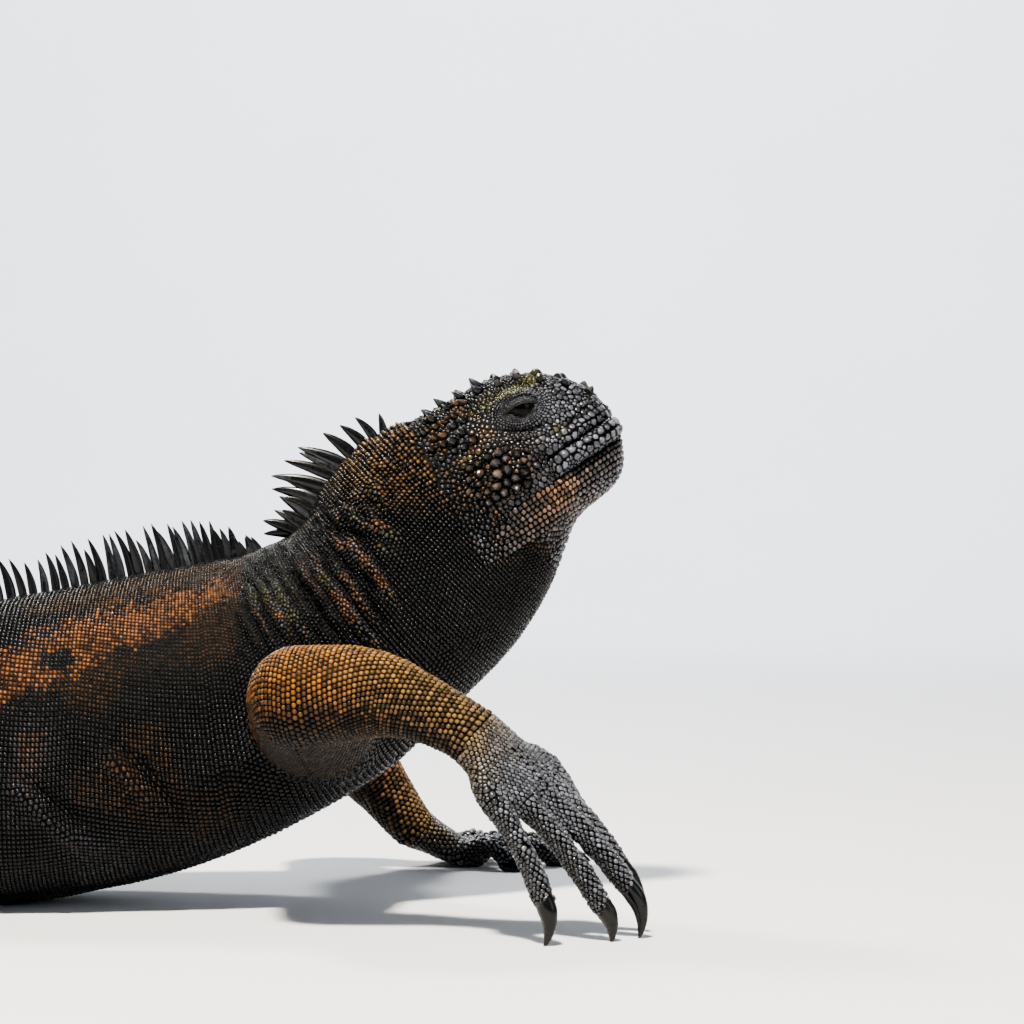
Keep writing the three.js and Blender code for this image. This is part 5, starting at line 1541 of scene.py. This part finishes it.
def makeClaw(name, form, index, point):
    bar = form["digits"][index]
    tip = form["tips"][index]
    tangent, side, _ = bar.frameAt(np.array(1.0))
    radius = bar.sizes[-1][0]
    root = tip + tangent * clawMake["gap"]
    reach = np.linalg.norm(point - root)
    knee = root + tangent * reach * clawMake["knee"] + form["back"] * radius * 0.45
    start = root - tangent * clawMake["rootBack"]
    u = np.linspace(0, 1, clawMake["rows"])[:, None]
    centre = point * (1 - u) ** 2 + knee * 2 * u * (1 - u) + start * u ** 2
    way = unit(np.gradient(centre, axis=0))
    sideways = unit(side - way * dot(way, side)[:, None])
    upward = np.cross(way, sideways)
    size = radius * np.minimum(1, 0.05 + 1.2 * u[:, 0] ** 0.8)
    turn = np.arange(clawMake["sides"]) * 2 * math.pi / clawMake["sides"]
    wide = size[:, None] * clawMake["wide"] * np.sin(turn)
    high = size[:, None] * clawMake["high"] * np.cos(turn)
    ring = centre[:, None] + sideways[:, None] * wide[..., None] + upward[:, None] * high[..., None]
    ring[..., 2] = np.maximum(ring[..., 2], lowest)
    piece = smoothed(meshObject(name, *tubeMesh(ring)))
    level = np.concatenate([np.repeat(u[:, 0], clawMake["sides"]), [0, 1]])
    horn = [0 * level, 1 - level, 0 * level + draw.uniform(), 0 * level + 1]
    storeColours(piece, horn=np.stack(horn, axis=-1))
    return piece


claws = {}
for name, shape in limbs.items():
    for index, digit in enumerate(digitNames):
        node = f"claw_{name}_{digit}"
        point = np.array(shape["claws"][index], float) * (1, shape["side"], 1)
        claws[node] = makeClaw("horn_" + node, limbShapes[name], index, point)
print("claws:", len(claws))


# Eyes: wet dark balls with a slightly domed cornea
def makeEye(side):
    centre, longWay, upWay, outWay = eyeFrame(side)
    bpy.ops.object.select_all(action="DESELECT")
    bpy.ops.mesh.primitive_uv_sphere_add(segments=48, ring_count=32, radius=eyeRadius * mm)
    piece = bpy.context.object
    piece.name = "eyeball_" + ("right" if side < 0 else "left")
    points = pointsOf(piece.data)
    away = np.arccos(np.clip(points[:, 2] / np.linalg.norm(points, axis=1), -1, 1))
    points *= (1 + 0.035 * smoothStep(0.75, 0.1, away))[:, None]
    turned = centre + longWay * points[:, :1] + upWay * points[:, 1:2] * side + outWay * points[:, 2:]
    setPoints(piece.data, turned)
    smoothed(piece)
    storeColours(piece, iris=np.stack([away / math.pi, 0 * away, 0 * away, 0 * away + 1], axis=-1))
    return piece


eyes = {side: makeEye(side) for side in (-1, 1)}


# Materials
def linear(hexColour):
    channels = [int(hexColour[i:i + 2], 16) / 255 for i in (1, 3, 5)]
    return [c / 12.92 if c <= 0.04045 else ((c + 0.055) / 1.055) ** 2.4 for c in channels] + [1.0]


def put(tree, kind, settings=None, sockets=None):
    # adds a node; a socket's value is a constant or a (node, output) pair to link
    node = tree.nodes.new(kind)
    for key, value in (settings or {}).items():
        setattr(node, key, value)
    for key, value in (sockets or {}).items():
        if isinstance(value, tuple) and isinstance(value[0], bpy.types.Node):
            tree.links.new(value[0].outputs[value[1]], node.inputs[key])
        else:
            node.inputs[key].default_value = value
    return node


def newMaterial(name, roughness=0.4, **principled):
    material = bpy.data.materials.new(name)
    material.use_nodes = True
    tree = material.node_tree
    shader = tree.nodes["Principled BSDF"]
    shader.inputs["Roughness"].default_value = roughness
    for key, value in principled.items():
        shader.inputs[key].default_value = value
    return material, tree, shader


def mixed(tree, first, second, factor, blend="MIX"):
    # colours first and second mixed by a factor; 6 and 7 are the colour sockets of a Mix node, 0 its factor
    node = put(tree, "ShaderNodeMix", {"data_type": "RGBA", "blend_type": blend},
               {0: factor, 6: first, 7: second})
    return node, 2


def maths(tree, operation, a, b=0.5):
    return put(tree, "ShaderNodeMath", {"operation": operation, "use_clamp": True}, {0: a, 1: b}), 0


hornColours = {
    "black": "#080808", "slate": "#171719", "pale": "#8b909c", "rust": "#86562f",
    "ochre": "#9a6628", "green": "#63601d", "tan": "#b38559",
}


def scaleMaterial(name, gloss, wet=0.16, isSkin=False):
    # keratin scales, grown and worn: painted shade in the grooves, paler glossy crowns, patterns by
    # attribute
    # keratin's specular level is kept low, so that the pale studio doesn't veil the blacks
    material, tree, shader = newMaterial(name, **{
        "Coat Weight": 0.0 if isSkin else wet * 0.5, "Coat Roughness": 0.1,
        "Specular IOR Level": 0.08 if isSkin else 0.15 + 0.45 * wet})
    colour = {key: linear(value) for key, value in hornColours.items()}
    place = put(tree, "ShaderNodeTexCoord")
    marks = put(tree, "ShaderNodeAttribute", {"attribute_name": "marks"})
    finish = put(tree, "ShaderNodeAttribute", {"attribute_name": "finish"})
    part = put(tree, "ShaderNodeSeparateColor", None, {0: (marks, "Color")})
    more = put(tree, "ShaderNodeSeparateColor", None, {0: (finish, "Color")})
    mottle = put(tree, "ShaderNodeTexNoise", None,
                 {"Vector": (place, "Object"), "Scale": 1 / (2.2 * mm), "Detail": 3.0})
    # painted shade: each scale darkens from its crown to its sunk edge
    level = put(tree, "ShaderNodeMapRange", {"interpolation_type": "SMOOTHSTEP"},
                {"Value": (finish, "Alpha"), "From Min": 0.15, "From Max": 1.0, "To Min": 0.03,
                 "To Max": 1.0})
    base = mixed(tree, colour["black"], colour["slate"], (mottle, 0))
    # pale wear and painted glints, on the crowns
    worn = maths(tree, "MULTIPLY", (more, 0), maths(tree, "MULTIPLY", (level, 0), (mottle, 0)))
    base = mixed(tree, base, colour["pale"], worn)
    weights = {"rust": (part, 0), "ochre": (part, 1), "green": (part, 2), "tan": (marks, "Alpha")}
    for tint, weight in weights.items():
        base = mixed(tree, base, colour[tint], maths(tree, "MULTIPLY", weight, 0.92))
    # lightness with its painted light and shade sets the brightness; the hide between scales is darkened
    # near-black as painted shade
    vary = put(tree, "ShaderNodeMapRange", None, {"Value": (more, 1), "To Min": 0.08, "To Max": 1.15})
    depth = put(tree, "ShaderNodeMath", {"operation": "MULTIPLY"},
                {0: (vary, 0), 1: 0.08 if isSkin else (level, 0)})
    shade = put(tree, "ShaderNodeCombineColor", None, {0: (depth, 0), 1: (depth, 0), 2: (depth, 0)})
    base = mixed(tree, base, (shade, 0), 1.0, "MULTIPLY")
    tree.links.new(base[0].outputs[base[1]], shader.inputs["Base Color"])
    rough = put(tree, "ShaderNodeMapRange", None, {"Value": (mottle, 0), "From Min": 0.3, "From Max": 0.7,
                                                   "To Min": gloss, "To Max": gloss + 0.14})
    tree.links.new(rough.outputs[0], shader.inputs["Roughness"])
    grit = put(tree, "ShaderNodeTexNoise", None,
               {"Vector": (place, "Object"), "Scale": 1 / (0.45 * mm), "Detail": 2.0})
    bump = put(tree, "ShaderNodeBump", None, {"Height": (grit, 0), "Strength": 0.35, "Distance": 0.08 * mm})
    tree.links.new(bump.outputs[0], shader.inputs["Normal"])
    return material


def hornMaterial(name, dark, pale, gloss):
    # solid horn: dark, finely grooved along its length, with pale streaks, more on more worn pieces
    material, tree, shader = newMaterial(name, **{"Coat Weight": 0.15, "Coat Roughness": 0.08,
                                                  "Specular IOR Level": 0.24})
    place = put(tree, "ShaderNodeTexCoord")
    horn = put(tree, "ShaderNodeAttribute", {"attribute_name": "horn"})
    part = put(tree, "ShaderNodeSeparateColor", None, {0: (horn, "Color")})
    stretch = put(tree, "ShaderNodeVectorMath", {"operation": "MULTIPLY"},
                  {0: (horn, "Color"), 1: (1.6, 0.7, 60.0)})
    cloud = put(tree, "ShaderNodeTexNoise", None,
                {"Vector": (place, "Object"), "Scale": 1 / (1.2 * mm), "Detail": 3.0})
    along = put(tree, "ShaderNodeTexNoise", None, {"Vector": (stretch, 0), "Scale": 3.0, "Detail": 3.0})
    streak = put(tree, "ShaderNodeMix", {"data_type": "FLOAT"}, {0: 0.3, 2: (along, 0), 3: (cloud, 0)})
    worn = put(tree, "ShaderNodeMapRange", None, {"Value": (streak, 0), "From Min": 0.46, "From Max": 0.78})
    own = put(tree, "ShaderNodeMapRange", None, {"Value": (part, 2), "From Min": 0.35, "From Max": 1.2})
    edge = maths(tree, "MULTIPLY", (worn, 0), (own, 0))
    base = mixed(tree, linear(dark), linear(pale), edge)
    tree.links.new(base[0].outputs[base[1]], shader.inputs["Base Color"])
    rough = put(tree, "ShaderNodeMapRange", None,
                {"Value": (streak, 0), "To Min": gloss, "To Max": gloss + 0.25})
    tree.links.new(rough.outputs[0], shader.inputs["Roughness"])
    bump = put(tree, "ShaderNodeBump", None,
               {"Height": (streak, 0), "Strength": 0.3, "Distance": 0.15 * mm})
    tree.links.new(bump.outputs[0], shader.inputs["Normal"])
    return material


def lidMaterial():
    # soft dark lid skin, finely lined, with pale worn rims
    material, tree, shader = newMaterial("lid skin, lined", 0.4, **{"Specular IOR Level": 0.3})
    place = put(tree, "ShaderNodeTexCoord")
    lid = put(tree, "ShaderNodeAttribute", {"attribute_name": "lid"})
    part = put(tree, "ShaderNodeSeparateColor", None, {0: (lid, "Color")})
    speck = put(tree, "ShaderNodeTexNoise", None,
                {"Vector": (place, "Object"), "Scale": 1 / (0.5 * mm), "Detail": 3.0})
    base = mixed(tree, linear("#09090a"), linear("#1e1e20"), (speck, 0))
    base = mixed(tree, base, linear("#7d7e82"), maths(tree, "MULTIPLY", (part, 0), 0.3))
    tree.links.new(base[0].outputs[base[1]], shader.inputs["Base Color"])
    bump = put(tree, "ShaderNodeBump", None, {"Height": (speck, 0), "Strength": 0.5, "Distance": 0.12 * mm})
    tree.links.new(bump.outputs[0], shader.inputs["Normal"])
    return material


def eyeMaterial():
    # wet cornea over a very dark brown iris
    material, tree, shader = newMaterial("wet dark eye", 0.03, **{"IOR": 1.36, "Specular IOR Level": 0.16})
    iris = put(tree, "ShaderNodeAttribute", {"attribute_name": "iris"})
    part = put(tree, "ShaderNodeSeparateColor", None, {0: (iris, "Color")})
    ramp = put(tree, "ShaderNodeValToRGB", None, {0: (part, 0)})
    stops = [(0.0, "#020202"), (0.085, "#030202"), (0.095, "#120b07"), (0.13, "#0d0805"), (0.17, "#070504"),
             (0.3, "#060505")]
    for position, colour in stops:
        stop = ramp.color_ramp.elements.new(position)
        stop.color = linear(colour)
    ramp.color_ramp.elements.remove(ramp.color_ramp.elements[-1])
    tree.links.new(ramp.outputs[0], shader.inputs["Base Color"])
    return material


bodyFinish = scaleMaterial("horny scales, wet sheen", 0.2)
headFinish = scaleMaterial("horny head plates, worn", 0.2, 0.3)
handFinish = scaleMaterial("horny hand scales, polished", 0.2, 0.7)
armFinish = scaleMaterial("horny arm scales, satin", 0.3, 0.12)
# the hide is darkened to near-black as painted shade in the gaps between scales
skinFinish = scaleMaterial("dark folded hide between scales", 0.5, isSkin=True)
crestFinish = hornMaterial("crest horn, weathered", "#050506", "#5d6167", 0.16)
clawFinish = hornMaterial("claw horn, smooth", "#070707", "#242322", 0.14)
lidFinish = lidMaterial()
eyeFinish = eyeMaterial()

finishOf = {"head": (headFinish, "skin"), "arm": (armFinish, "ochre"), "hand": (handFinish, "hand"),
            "foot": (handFinish, "hand"), "chest": (bodyFinish, "rust"), "belly": (bodyFinish, "rust"),
            "hips": (bodyFinish, "rust")}


def dress(piece, material, slot):
    piece.data.materials.clear()
    piece.data.materials.append(material)
    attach(piece, "root")


flesh = [name for name in frame["nodes"] if not name.startswith(("claw", "eye"))]
dress(skin, skinFinish, "skin")
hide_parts(*flesh)
for piece in lids.values():
    dress(piece, lidFinish, "skin")
for name, piece in scalePieces.items():
    dress(piece, *finishOf.get(name.split("_")[1], (bodyFinish, "skin")))
dress(crestPiece, crestFinish, "skin")
for node, piece in claws.items():
    dress(piece, clawFinish, "claw")
    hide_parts(node)
for side, piece in eyes.items():
    dress(piece, eyeFinish, "eye")
    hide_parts("eye_right" if side < 0 else "eye_left")


# Floor and backdrop: one pale bowl, so that no horizon shows from any side
def makeStage():
    stageMake = {"radius": 5.3, "fillet": 1.7, "height": 5.2}
    radius, fillet = stageMake["radius"], stageMake["fillet"]
    profile = [(0, 0), (radius - fillet, 0)]
    profile += [(radius - fillet * (1 - math.sin(a)), fillet * (1 - math.cos(a)))
                for a in np.linspace(0.05, math.pi / 2, 20)]
    profile += [(radius, stageMake["height"])]
    mesh = bpy.data.meshes.new("floor")
    mesh.from_pydata([(x, 0, z) for x, z in profile], [(i, i + 1) for i in range(len(profile) - 1)], [])
    piece = bpy.data.objects.new("floor", mesh)
    bpy.context.scene.collection.objects.link(piece)
    only(piece)
    bpy.ops.object.mode_set(mode="EDIT")
    bpy.ops.mesh.select_all(action="SELECT")
    bpy.ops.mesh.spin(steps=96, angle=2 * math.pi, center=(0, 0, 0), axis=(0, 0, 1))
    bpy.ops.mesh.select_all(action="SELECT")
    bpy.ops.mesh.remove_doubles(threshold=0.0005)
    bpy.ops.mesh.normals_make_consistent(inside=True)
    bpy.ops.object.mode_set(mode="OBJECT")
    bpy.ops.object.shade_smooth()
    material, tree, shader = newMaterial("painted studio floor, matt", 0.85)
    place = put(tree, "ShaderNodeTexCoord")
    cloud = put(tree, "ShaderNodeTexNoise", None, {"Vector": (place, "Object"), "Scale": 3.0})
    tint = mixed(tree, linear("#dfe1e3"), linear("#e6e7e8"), (cloud, 0))
    tree.links.new(tint[0].outputs[tint[1]], shader.inputs["Base Color"])
    piece.data.materials.append(material)


makeStage()


# Light: a small high key for glints on the scales, a broad fill and a rim for the crest
def addLight(name, place, target, size, power, colour):
    light = bpy.data.lights.new(name, "AREA")
    light.shape, light.size, light.energy = "DISK", size, power
    light.color = linear(colour)[:3]
    lamp = bpy.data.objects.new(name, light)
    lamp.location = place
    lamp.rotation_euler = (Vector(target) - Vector(place)).to_track_quat("-Z", "Y").to_euler()
    bpy.context.scene.collection.objects.link(lamp)


addLight("key", (-0.05, -0.95, 1.85), (0.12, 0, 0.1), 0.22, 112, "#fff4e6")
addLight("fill", (1.7, -1.5, 0.9), (0.15, 0, 0.1), 1.2, 10, "#e8f0ff")
addLight("rim", (-0.5, 1.3, 1.5), (0.1, 0, 0.12), 0.4, 30, "#ffffff")
addLight("backdrop", (0.2, 2.9, 3.0), (0.2, 5.2, 0.7), 2.2, 210, "#f4f8ff")
world = bpy.data.worlds.new("studio air")
world.use_nodes = True
world.node_tree.nodes["Background"].inputs[0].default_value = linear("#e9eef4")
world.node_tree.nodes["Background"].inputs[1].default_value = 0.12
bpy.context.scene.world = world
bpy.context.scene.view_settings.look = "AgX - Medium High Contrast"

# Camera: level, square to the right flank, a hand's breadth above the floor, as the photo is taken
cameraMake = {"place": (0.2231, -1.2, 0.137), "pixel": 0.39 * mm, "frame": 1024, "horizon": 548}
camera = bpy.data.cameras.new("camera")
camera.sensor_width = 36
camera.lens = 36 * -cameraMake["place"][1] / (cameraMake["frame"] * cameraMake["pixel"])
camera.shift_y = (cameraMake["horizon"] - cameraMake["frame"] / 2) / cameraMake["frame"]
view = bpy.data.objects.new("camera", camera)
view.location = cameraMake["place"]
view.rotation_euler = (math.pi / 2, 0, 0)
bpy.context.scene.collection.objects.link(view)
bpy.context.scene.camera = view
